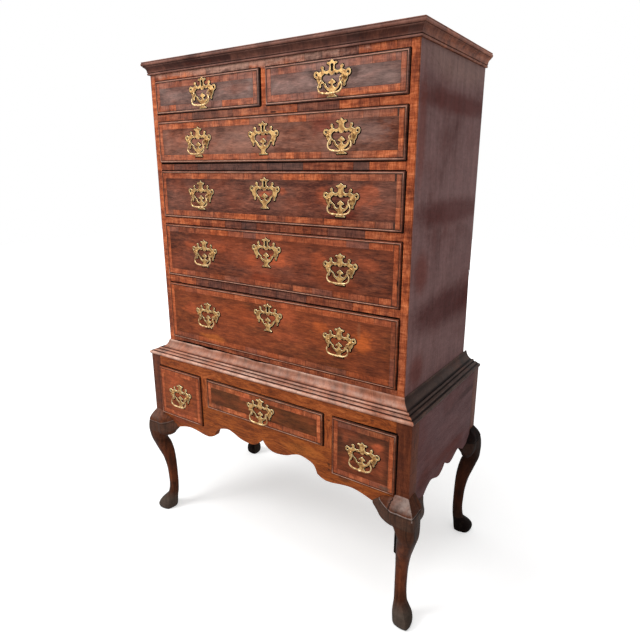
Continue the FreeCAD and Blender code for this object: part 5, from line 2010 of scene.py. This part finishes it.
@dataclass
class CabrioleLeg:
    """One leg: the square post, the knee, the slim ankle, the pad foot and two knee brackets."""

    name: str
    side: int
    end: int
    sway: Point2 = (0.0, 0.0)
    half_width: float = STAND_HALF_WIDTH
    half_depth: float = -STAND_FRONT
    foot_inset: float = 10.9
    foot_reach: float = 29.0
    post: float = CORNER_POST
    post_bottom: float = 388.0
    round_count: int = 48
    voxel: float = 2.3
    lappet: float = 1.9
    # How strongly the knee's painted highlights show; above one half the leg also has its crack, its slip and
    # its painted shadow.
    lit_and_marked: float = 0.3
    stations: tuple[tuple[float, float, float, float, float], ...] = (
        (433, 12, -46, 28, 1.1), (426, 20, -46, 33, 1.1), (408, 34, -48, 39, 1.1), (382, 47, -47, 43, 1.15),
        (352, 51, -44, 42, 1.25), (330, 49, -30, 38.5, 1.4), (310, 45, -15, 33, 1.6),
        (288, 37, -24.5, 29.5, 1.7), (259, 24.5, -32.4, 26, 1.8), (225, 9.5, -37, 22.4, 1.95),
        (180, -1, -39.4, 19.5, 2), (140, -4.5, -40.2, 18.7, 2), (100, -5.5, -40.2, 18.6, 2),
        (66, 0.5, -38, 20, 2), (52, 12, -35.5, 24, 2), (38, 29, -33.8, 29.6, 1.8),
        (27, 38, -33.2, 31.4, 1.6), (17, 42.5, -32.6, 31.6, 1.45),
        (10, 42.5, -31.5, 31, 1.4), (3.6, 40, -30, 29.4, 1.4), (0.4, 37, -28.4, 27.6, 1.4),
        (0, 36, -28, 27, 1.4))
    side_bracket: tuple[tuple[float, float, float, float], ...] = (
        (-20, 320, 421, 23.5), (-8, 322, 421, 24.5), (0, 325, 414, 24), (12, 326, 403, 24),
        (22, 335, 395, 21), (32, 345, 390.5, 15), (42, 357, 388, 9), (52, 367, 386.6, 4), (60, 375, 386, 1))
    bracket: tuple[tuple[float, float, float, float], ...] = (
        (-20, 335, 422, 23.5), (-8, 336, 422, 25), (0, 336, 421, 24), (12, 337, 420, 20), (25, 340, 417, 15),
        (37, 346, 411, 10.5), (49, 360, 401, 6), (58, 369, 395, 3), (67, 378, 389, 0.8))

    def build(self, finishes: Finishes) -> None:
        """Make the leg: the carved part in one skin, and the square post.

        Args:
            finishes: The materials.
        """
        shell = Shell(f"{self.name}_rough")
        self._shaft(shell)
        for along_front in (True, False):
            self._bracket(shell, along_front)
        if self.lit_and_marked > 0.5:
            # A slip of wood behind the shank of the front right leg; its inner part is painted black as
            # shadow in _dressing.
            shell.box((479, 500), (-257, -237), (225, 297))
        carved = self._carved(shell.build(finishes.of(LEG), smooth=0.0), finishes.of(LEG))
        settle(carved, CASE_BODY, "walnut", self.name)
        shell = Shell(f"{self.name}_post")
        self._post(shell)
        settle(shell.build(finishes.of(POST), smooth=30.0), CASE_BODY, "walnut", self.name)

    def _carved(self, rough: Object, material: Material) -> Object:
        """Blend the knee, shaft and brackets into one skin and raise the carved edge on the knee.

        Args:
            rough: The separate closed forms.
            material: The leg's finish.

        Returns:
            The carved part.
        """
        remesh = rough.modifiers.new("One skin", "REMESH")
        remesh.mode, remesh.voxel_size = "VOXEL", self.voxel * MM
        soften = rough.modifiers.new("Soften", "SMOOTH")
        soften.factor, soften.iterations = 0.5, 3
        view = bpy.context.evaluated_depsgraph_get()
        mesh = bpy.data.meshes.new_from_object(rough.evaluated_get(view), depsgraph=view)
        bpy.data.objects.remove(rough)
        normals = [vertex.normal.copy() for vertex in mesh.vertices]
        for vertex, normal in zip(mesh.vertices, normals):
            vertex.co += normal * (self.lappet * MM * self._lift(vertex.co / MM))
            for axis, half in enumerate((self.half_width, self.half_depth)):
                reach = (half + self.foot_reach) * MM
                vertex.co[axis] = within(vertex.co[axis], -reach, reach)
            vertex.co.z = max(vertex.co.z, 0.0)
        for polygon in mesh.polygons:
            polygon.use_smooth = True
        leaf_data, wear_and_light_data = [], []
        for vertex in mesh.vertices:
            tone, grey, rub_and_highlight, grime_and_shade = self._dressing(vertex.co / MM)
            leaf_data.extend((tone, grey, 0.3, 1.0))
            wear_and_light_data.extend((rub_and_highlight, grime_and_shade, 0.0, 1.0))
        write_attributes(mesh, "POINT", leaf_data, wear_and_light_data)
        mesh.materials.clear()
        return object_of(f"{self.name}_carved", mesh, material)

    def _below_edge(self, place: Vector) -> float:
        """How far a place is below the carved edge on the knee."""
        away = max(0.0, self.half_width + 21 - abs(place.x), self.half_depth + 20 - abs(place.y))
        return 386.5 + 0.0042 * max(0.0, away - 48.0) ** 2 - place.z

    def _lift(self, place: Vector) -> float:
        """Share of the lappet's thickness at a place: all of it above the carved edge, none below.

        Args:
            place: The place.

        Returns:
            The share.
        """
        share = within(-self._below_edge(place) / 2.6)
        near_post = max(0.0, 1.0 - max(0.0, place.z - 404.0) / 18.0)
        return share * share * (3 - 2 * share) * near_post

    def _dressing(self, place: Vector) -> tuple[float, float, float, float]:
        """Tone, greyness, rub and grime at a place on the leg, with painted light and shade.

        Args:
            place: The place.

        Returns:
            The four values.
        """
        below = self._below_edge(place)
        x, y = abs(place.x) - self.half_width, abs(place.y) - self.half_depth
        # Painted light and shade: lighter above the carved edge, darker below it.
        tone = 0.55 if below < 0 else 0.2
        if 70 < place.z < 310:
            tone = 0.65 * min(1.0, (310 - place.z) / 60.0, (place.z - 70) / 60.0) + 0.2
        # Greyer towards the foot, and in a band below the carved edge as painted shade.
        grey = max(min(1.1, (75.0 - place.z) / 30.0), 0.4 if 0 < below < 40 else 0.1)
        # Painted highlight along the carved edge, then on the knee's front facet, then along its corner
        # ridge.
        rub_and_highlight = max(0.0, 1.0 - abs(below + 0.5) / 2.4) * self.lit_and_marked
        if below < 0 and y > x:
            rub_and_highlight = max(rub_and_highlight, self.lit_and_marked * 0.5 * within((place.z - 391) / 14) * within((x + 60) / 50))
        if 376 < place.z < 404 and x > 4:
            rub_and_highlight = max(rub_and_highlight, (1.0 - abs(x - y - 0.3) / 3.0) * 0.8 * self.lit_and_marked)
        # Painted shade under the carved edge and next to the floor.
        grime_and_shade = max(0.0, 1.0 - abs(below - 3.6) / 2.4) * 0.6 + max(0.0, 1 - place.z / 8) * 0.6
        # Painted shade on the facets that face sideways.
        if (below < 4 or place.z < 62) and x > y:
            grime_and_shade += 0.4
        if self.lit_and_marked > 0.5 and y > 0 and 386 < place.z < 420:
            crack = x + 46 + (418 - place.z) * 0.25 + 1.5 * math.sin(place.z * 0.9)
            grime_and_shade += max(0.0, 1.0 - abs(crack) / 2.8) * 1.6
        # Painted shadow on the inner side of the shank and on the slip.
        if self.lit_and_marked > 0.5 and x < -36 and 222 < place.z < 302:
            grime_and_shade = 1.0
        # The back legs are darker: painted shade.
        if self.end < 0:
            grime_and_shade += 0.7
        return tone, grey, rub_and_highlight, min(1.0, grime_and_shade)

    def _turned_to(self, x: float, y: float, z: float) -> Point3:
        """A place on the front right leg, moved to this leg's corner."""
        return x * self.side, y * self.end, z

    def _smooth_stations(self) -> list[tuple]:
        """The stations with more between them, from the top down."""
        fine = smooth_loop(self.stations, 5, closed=False)
        return sorted(fine, key=lambda s: -s[0])

    def _shaft(self, shell: Shell) -> None:
        """The shaped part below the boards.

        Args:
            shell: The piece that it is added to.
        """
        foot_x, foot_y = self.half_width - self.foot_inset, -self.half_depth + self.foot_inset
        rings = []
        for height, out, inward, half, square in self._smooth_stations():
            middle, length, power = (out + inward) / 2, (out - inward) / 2, 2 / square
            ring = []
            for n in range(self.round_count):
                angle = math.tau * n / self.round_count
                c, s = math.cos(angle), math.sin(angle)
                along = middle + length * math.copysign(abs(c) ** power, c)
                across = half * math.copysign(abs(s) ** power, s)
                right, back = (along + across) / math.sqrt(2), (across - along) / math.sqrt(2)
                x, y = foot_x + right, foot_y + back
                if height > 384:
                    if y > -self.half_depth:
                        x = max(x, self.half_width - self.post + 0.05)
                    if x < self.half_width:
                        y = min(y, -self.half_depth + self.post - 0.05)
                x, y, _ = self._turned_to(x, y, 0)
                share = within((385 - height) / 90)
                ring.append((x + self.sway[0] * share, y + self.sway[1] * share, height))
            rings.append(ring)
        shell.loft(rings)

    def _post(self, shell: Shell) -> None:
        """The square head of the leg, seen as the stile at the corner.

        Args:
            shell: The piece that it is added to.
        """
        a, c = self.half_width - self.post, self.half_width
        d, e = -self.half_depth, -self.half_depth + self.post
        outline = [(a, d), (c - 1.5, d), (c - 0.4, d + 0.4), (c, d + 1.5), (c, e), (a, e)]
        corners = [self._turned_to(x, y, 0)[:2] for x, y in outline]
        if self.side * self.end < 0:
            corners = corners[::-1]
        shell.prism(corners, self.post_bottom, STAND_TOP, Leaf(0.2), axis="Z")

    def _bracket(self, shell: Shell, along_front: bool) -> None:
        """The bracket beside the knee, on the front board or on the side board.

        Args:
            shell: The piece that it is added to.
            along_front: It is on the front board.
        """
        corner_x, corner_y = self.half_width - self.post, -self.half_depth + self.post
        rings = []
        stations = self.bracket if along_front else self.side_bracket
        for along, low, high, swell in smooth_loop(stations, 3, closed=False):
            height = high - low
            outline = [(-11.5, low), (-11.5, high - 0.5), (0.0, high)]
            for t in (0.12, 0.28, 0.46, 0.62, 0.76, 0.86):
                bulge = math.sin(math.pi * (0.12 + (0.55 * t ** 0.8 if along_front else 0.78 * t ** 1.1)))
                outline.append((swell * min(1.0, bulge * 1.02), high - height * t))
            foot = swell * (1.0 if along_front else 0.45)
            outline += [(foot * 0.86, low + height * 0.08), (foot * 0.62, low + height * 0.02),
                        (foot * 0.35, low)]
            if along_front:
                ring = [self._turned_to(corner_x - along, -self.half_depth - d, z) for d, z in outline]
            else:
                ring = [self._turned_to(self.half_width + d, corner_y + along, z) for d, z in outline]
            rings.append(ring)
        shell.loft(rings)


# --- nodes that keep their shape ----------------------------------------------------------------
@dataclass
class KeptSolids:
    """Finishes for the nodes whose solids stay in view."""

    finishes_by_ending: tuple[tuple[str, WoodFinish | MetalFinish], ...] = (
        ("case_rails", SUBSTRATE), ("case_boards", OAK), ("stand_runners", OAK),
        ("stand_back", replace(PINE, name="Stand back board", grain=Grain.X)), ("_box", OAK),
        ("_front", GROUND), ("_bolt", IRON))

    def build(self, nodes: dict[str, Object], finishes: Finishes) -> None:
        """Give each kept node its finish.

        Args:
            nodes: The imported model's objects by node name.
            finishes: The materials.
        """
        for name, node in nodes.items():
            for ending, finish in self.finishes_by_ending:
                if name.endswith(ending) and not node.hide_render:
                    if not node.material_slots:
                        node.data.materials.append(None)
                    for place in node.material_slots:
                        place.material = finishes.of(finish)
                    break


# --- studio -------------------------------------------------------------------------------------
@dataclass
class Studio:
    """Camera, floor and soft light."""

    eye: Point3 = (1.0433, -1.4756, 1.3065)
    target: Point3 = (0.1980, -0.2265, 0.8840)
    roll: float = 0.0011
    lens: float = 29.98
    key_power: float = 95.0
    fill: float = 0.42

    def build(self) -> None:
        """Set the camera, the floor, the lamps and the world."""
        scene = bpy.context.scene
        scene.view_settings.view_transform = "Standard"
        camera = linked("camera", bpy.data.cameras.new("camera"))
        camera.data.lens, camera.data.sensor_width = self.lens, 36.0
        camera.location = self.eye
        forward = Vector(self.target) - Vector(self.eye)
        turn = forward.to_track_quat("-Z", "Y").to_matrix().to_4x4()
        camera.rotation_euler = turn.to_euler()
        camera.rotation_euler.rotate_axis("Z", self.roll)
        scene.camera = camera
        self._floor()
        self._lamp("key", (-1.9, -2.6, 3.4), 1.5, self.key_power)
        self._lamp("top", (0.3, -0.4, 4.2), 3.0, self.key_power * 0.9)
        self._world()

    @staticmethod
    def _lamp(name: str, place: Point3, size: float, power: float) -> None:
        """A square soft lamp that faces the middle of the chest.

        Args:
            name: Its name.
            place: Where it hangs, in metres.
            size: Its side.
            power: Its watts.
        """
        lamp = bpy.data.lights.new(name, "AREA")
        lamp.shape, lamp.size, lamp.energy = "SQUARE", size, power
        made = linked(name, lamp)
        made.location = place
        made.rotation_euler = (Vector((0.0, 0.0, 0.8)) - Vector(place)).to_track_quat("-Z", "Y").to_euler()

    def _floor(self) -> None:
        """A pale floor that keeps the shadow of the chest."""
        shell = Shell("floor")
        half = 9000.0
        shell.face([shell.point((x * half, y * half, 0.0)) for x, y in ((-1, -1), (1, -1), (1, 1), (-1, 1))])
        material, graph = blank_material("Pale floor")
        place = graph.node("ShaderNodeTexCoord").outputs["Object"]
        tint = graph.mix(graph.noise(place, 3.0, 4.0), (0.80, 0.80, 0.80), (0.84, 0.84, 0.835))
        matt = graph.node("ShaderNodeBsdfDiffuse", {"Color": tint})
        away = graph.span(graph.vector("LENGTH", place), 0.8, 4.0, 0.45, 1.0, smooth=False)
        glow = graph.node("ShaderNodeEmission", {"Color": (1.0, 1.0, 1.0), "Strength": graph.math(
            "MULTIPLY", graph.node("ShaderNodeLightPath").outputs["Is Camera Ray"], away)})
        both = graph.node("ShaderNodeAddShader", {0: matt.outputs[0], 1: glow.outputs[0]})
        graph.node("ShaderNodeOutputMaterial", {"Surface": both.outputs[0]})
        shell.build(material, smooth=0.0)

    def _world(self) -> None:
        """White behind everything and in reflections, with a softer share of light."""
        world = bpy.data.worlds.new("World")
        bpy.context.scene.world = world
        world.use_nodes = True
        world.node_tree.nodes.clear()
        graph = Graph(world.node_tree)
        path = graph.node("ShaderNodeLightPath").outputs
        seen = graph.math("MAXIMUM", path["Is Camera Ray"], graph.math(
            "MAXIMUM", path["Is Glossy Ray"], path["Is Transmission Ray"]))
        strength = graph.math("MULTIPLY_ADD", seen, 1.0 - self.fill, self.fill)
        backdrop = graph.node("ShaderNodeBackground", {"Color": (1.0, 1.0, 1.0), "Strength": strength})
        graph.node("ShaderNodeOutputWorld", {"Surface": backdrop.outputs[0]})


# --- the whole chest ----------------------------------------------------------------------------
def drawer_fronts() -> list[VeneeredFront]:
    """The nine fronts with their own veneers.

    Returns:
        The fronts, not yet built.
    """
    by_name = {place.name: place for place in PLACES}
    glow, amber = shade(186, 90, 54), shade(204, 112, 50)
    # The dark colour is painted shade, mostly beside the plates; the grey one is painted sheen.
    painted_shade, grey_sheen = shade(52, 30, 26), shade(122, 100, 94)

    def front(name: str, seed: int, above: tuple[Point2, ...], below: tuple[Point2, ...],
              stains_and_light: tuple[ColourPatch, ...], sheen_amount: float, strips: Point2 = (0.85, 0.75), grey: float = 0.0,
              dim: float = 1.0, **changes: object) -> VeneeredFront:
        """One front with its own finish.

        Args:
            name: The drawer's name.
            seed: Its random seed.
            above: Right ends and tones of the leaves over the field.
            below: The same under the field.
            stains_and_light: Its patches: stains, wear, painted shade and painted sheen.
            sheen_amount: How strong the bloom and painted sheen are.
            strips: Tones of the left and right upright strips.
            grey: Greyness of the field.
            dim: Share that is kept of the leaves' tones.
            **changes: Other fields of the finish.

        Returns:
            The front.
        """
        place = by_name[name]
        above, below = (tuple((x, tone * dim) for x, tone in row) for row in (above, below))
        finish = replace(FIELD, name=f"Veneer of {name}", seed=seed * 1.7, bloom_amount=sheen_amount, stains_and_light=stains_and_light,
                         panel=(place.left, place.right, place.bottom, place.top), **changes)
        return VeneeredFront(place, finish, above, below, strips, grey, seed=seed)

    return [
        front("short_left", 1,
              ((-380, 0.4), (-325, 0.45), (-250, 0.35), (-160, 0.55), (-90, 0.55), (-20, 0.45)),
              ((-390, 0.35), (-357, 0.85), (-285, 0.25), (-200, 0.3), (-155, 0.1), (-20, 0.85)),
              (on_front(-330, 1530, 70, 18, grey_sheen, 0.5), on_front(-180, 1545, 20, 22, painted_shade, 0.5),
               on_front(-90, 1540, 60, 20, shade(120, 68, 52), 0.5)), 0.8, grey=0.25,
              bloom=shade(150, 124, 116)),
        front("short_right", 2,
              ((60, 0.1), (185, 0.5), (285, 0.35), (352, 0.6), (415, 0.75), (450, 0.3)),
              ((100, 0.8), (190, 0.3), (260, 0.35), (342, 0.9), (430, 0.95), (450, 0.6)),
              (on_front(160, 1560, 26, 12, grey_sheen, 0.6), on_front(180, 1545, 24, 20, painted_shade, 0.6),
               on_front(300, 1545, 16, 18, painted_shade, 0.5), on_front(390, 1530, 40, 25, grey_sheen, 0.4)), 0.8,
              (0.75, 0.65), grey=0.25, bloom=shade(150, 122, 114)),
        front("long_first", 3,
              ((-350, 0.75), (-278, 0.85), (-200, 0.5), (-50, 0.75), (90, 0.4), (153, 0.95), (210, 0.25),
               (285, 0.45), (375, 0.3), (425, 0.4)),
              ((-380, 0.8), (-275, 0.9), (-140, 0.95), (-50, 0.85), (80, 0.75), (110, 0.95), (150, 0.7),
               (202, 0.8), (245, 0.5), (330, 0.65), (370, 0.6), (435, 0.95)),
              (on_front(210, 1420, 50, 26, shade(132, 60, 44), 0.6), on_front(350, 1405, 70, 34, grey_sheen, 0.5),
               on_front(-110, 1400, 90, 20, grey_sheen, 0.25), on_front(-170, 1420, 22, 20, painted_shade, 0.5),
               on_front(0, 1400, 22, 14, glow, 0.5)), 0.8, bloom=shade(158, 114, 98),
              bloom_size=0.1, bloom_cover=0.55,
              dark=shade(52, 24, 18), middle=shade(106, 56, 40), light=shade(150, 90, 66)),
        front("long_second", 4,
              ((-305, 0.55), (-235, 0.95), (-170, 0.6), (-80, 0.45), (70, 0.6), (145, 0.95), (212, 0.85),
               (295, 0.6), (350, 0.65), (425, 0.6)),
              ((-405, 0.55), (-325, 0.8), (-270, 0.65), (-215, 0.4), (-135, 0.65), (-73, 0.9), (5, 0.8),
               (75, 0.4), (155, 0.8), (210, 0.45), (270, 0.7), (320, 0.5), (425, 0.35)),
              (on_front(345, 1245, 50, 34, glow, 0.4), on_front(210, 1238, 34, 30, glow, 0.4),
               on_front(55, 1250, 36, 12, glow, 0.5), on_front(265, 1190, 60, 14, shade(140, 58, 40), 0.5),
               on_front(-330, 1225, 60, 40, painted_shade, 0.25), on_front(0, 1237, 24, 14, glow, 0.6)), 0.5,
              bloom=shade(138, 98, 84)),
        front("long_third", 5,
              ((-385, 0.2), (-235, 0.35), (-155, 0.95), (-90, 0.65), (-40, 0.2), (65, 0.75), (215, 0.35),
               (285, 0.95), (355, 0.2), (428, 0.95)),
              ((-355, 0.95), (-315, 0.6), (-180, 0.4), (-50, 0.35), (12, 0.9), (100, 0.4), (170, 0.75),
               (240, 0.45), (295, 0.65), (350, 0.5), (390, 0.4), (428, 0.8)),
              (on_front(45, 1046, 50, 26, glow, 0.75), on_front(-60, 1036, 34, 22, glow, 0.6),
               on_front(-200, 1066, 50, 16, glow, 0.5), on_front(350, 1060, 50, 22, glow, 0.4),
               on_front(195, 1060, 30, 30, glow, 0.45), on_front(-20, 985, 70, 20, shade(160, 70, 40), 0.5),
               on_front(-330, 1066, 30, 16, glow, 0.4), on_front(0, 1050, 22, 14, glow, 0.7),
               ColourPatch((444, -250, 1022), (4.5, 300, 10), shade(12, 7, 6), 1.0, 0.4)), 0.12, dim=0.8,
              border=0.3, worn_cover=0.5, dark=shade(44, 20, 13), middle=shade(98, 48, 31),
              light=shade(144, 76, 46)),
        front("long_fourth", 6,
              ((-370, 0.4), (-260, 0.6), (-80, 0.75), (-5, 0.85), (55, 0.25), (130, 0.65), (205, 0.4),
               (275, 0.9), (430, 0.85)),
              ((-390, 0.3), (-320, 0.4), (-220, 0.85), (-100, 0.6), (-50, 0.4), (40, 0.85), (145, 0.55),
               (290, 0.35), (430, 0.2)),
              (on_front(342, 838, 36, 36, shade(200, 98, 44), 0.7),
               on_front(200, 862, 30, 22, shade(190, 92, 44), 0.6),
               on_front(-345, 842, 40, 26, glow, 0.5), on_front(-250, 752, 62, 16, amber, 0.6),
               on_front(60, 880, 60, 40, glow, 0.55), on_front(-90, 850, 60, 40, shade(160, 74, 40), 0.5),
               on_front(330, 875, 7, 34, shade(150, 92, 62), 0.5), on_front(60, 810, 60, 20, glow, 0.4),
               on_front(380, 780, 60, 50, painted_shade, 0.35), on_front(0, 838, 22, 14, glow, 0.6)), 0.04,
              (1.0, 0.2), dim=0.75, border=0.2, worn_cover=0.65, dark=shade(48, 22, 12),
              middle=shade(104, 52, 28), light=shade(154, 82, 40)),
        front("stand_left", 7, ((-400, 0.5), (-320, 0.85), (-280, 0.4)), ((-420, 0.7), (-280, 0.75)),
              (on_front(-400, 580, 60, 14, shade(176, 84, 46), 0.6), on_front(-410, 545, 30, 40, glow, 0.5),
               on_front(-330, 540, 26, 30, shade(150, 66, 36), 0.5), on_front(-340, 470, 50, 20, glow, 0.3)),
              0.0, (0.9, 0.85), border=0.15, worn_cover=0.55, curl=0.02, dark=shade(78, 36, 18),
              middle=shade(130, 64, 32), light=shade(166, 90, 48)),
        front("stand_centre", 8,
              ((-150, 0.6), (-75, 0.65), (-45, 0.95), (40, 0.5), (125, 0.6), (240, 0.85)),
              ((-178, 0.6), (-120, 0.8), (-60, 0.85), (15, 0.6), (90, 0.95), (168, 0.7), (200, 0.6),
               (240, 0.8)),
              (on_front(-60, 588, 34, 14, shade(190, 92, 56), 0.6),), 0.0, (0.8, 0.9), border=0.25,
              worn_cover=0.3, dark=shade(66, 34, 16), middle=shade(98, 52, 25), light=shade(122, 68, 35)),
        front("stand_right", 9, ((340, 0.2), (400, 0.3), (470, 0.3)), ((330, 0.4), (405, 0.6), (470, 0.3)),
              (on_front(427, 560, 22, 14, glow, 0.8), on_front(322, 560, 12, 20, glow, 0.3),
               on_front(455, 440, 22, 8, shade(90, 80, 68), 0.6), on_front(440, 510, 20, 40, glow, 0.25)),
              0.05, (0.6, 0.75), border=0.35, worn_cover=0.5, dark=shade(54, 27, 15),
              middle=shade(92, 47, 26), light=shade(124, 68, 38)),
    ]


def main() -> None:
    """Build every sub-assembly in order."""
    logging.basicConfig(level=logging.INFO, format="%(message)s", stream=sys.stdout)
    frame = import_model()
    finishes, repeater = Finishes(), Repeater()
    Studio().build()
    for front in drawer_fronts():
        front.build(finishes)
    for place in PLACES:
        Brasses(place).build(finishes, repeater)
        for node, x in place.bails():
            Bail(node, place, x).build(finishes)
    # The cornice's returns are lighter, a painted sheen, and the waist's front is lighter than its dark
    # returns: painted light and shade.
    Moulding("cornice", CORNICE, CORNICE_BOTTOM, CASE_BACK, CORNICE_SECTION, tones=(0.0, 0.15),
             side_lit_tones=(0.5, 0.9), side_light=0.6, seed=2).build(finishes)
    Moulding("waist_moulding", MOULDING, STAND_TOP, -STAND_FRONT, WAIST_SECTION, tones=(0.6, 1.0),
             chips=((-270.0, 34.0, 3.2), (-60.0, 42.0, 3.6), (-25.0, 18.0, 2.0)), chip_reach=3.0,
             seed=3).build(finishes)
    CaseFrame().build(finishes)
    DarkGaps().build(finishes)
    CaseSides().build(finishes)
    BackPlanks().build(finishes, repeater)
    StandFrame().build(finishes)
    for end, y_name in ((1, "front"), (-1, "back")):
        for side, x_name in ((-1, "left"), (1, "right")):
            # The front right leg shows its painted highlights most, and has its crack and slip.
            lit_and_marked = 0.9 if (end, side) == (1, 1) else 0.25
            sway = (2.5, 3.0) if end == 1 else (0.5, 0.0)
            CabrioleLeg(f"leg_{y_name}_{x_name}", side, end, sway, lit_and_marked=lit_and_marked).build(finishes)
    KeptSolids().build(frame["nodes"], finishes)


if __name__ == "__main__":
    main()
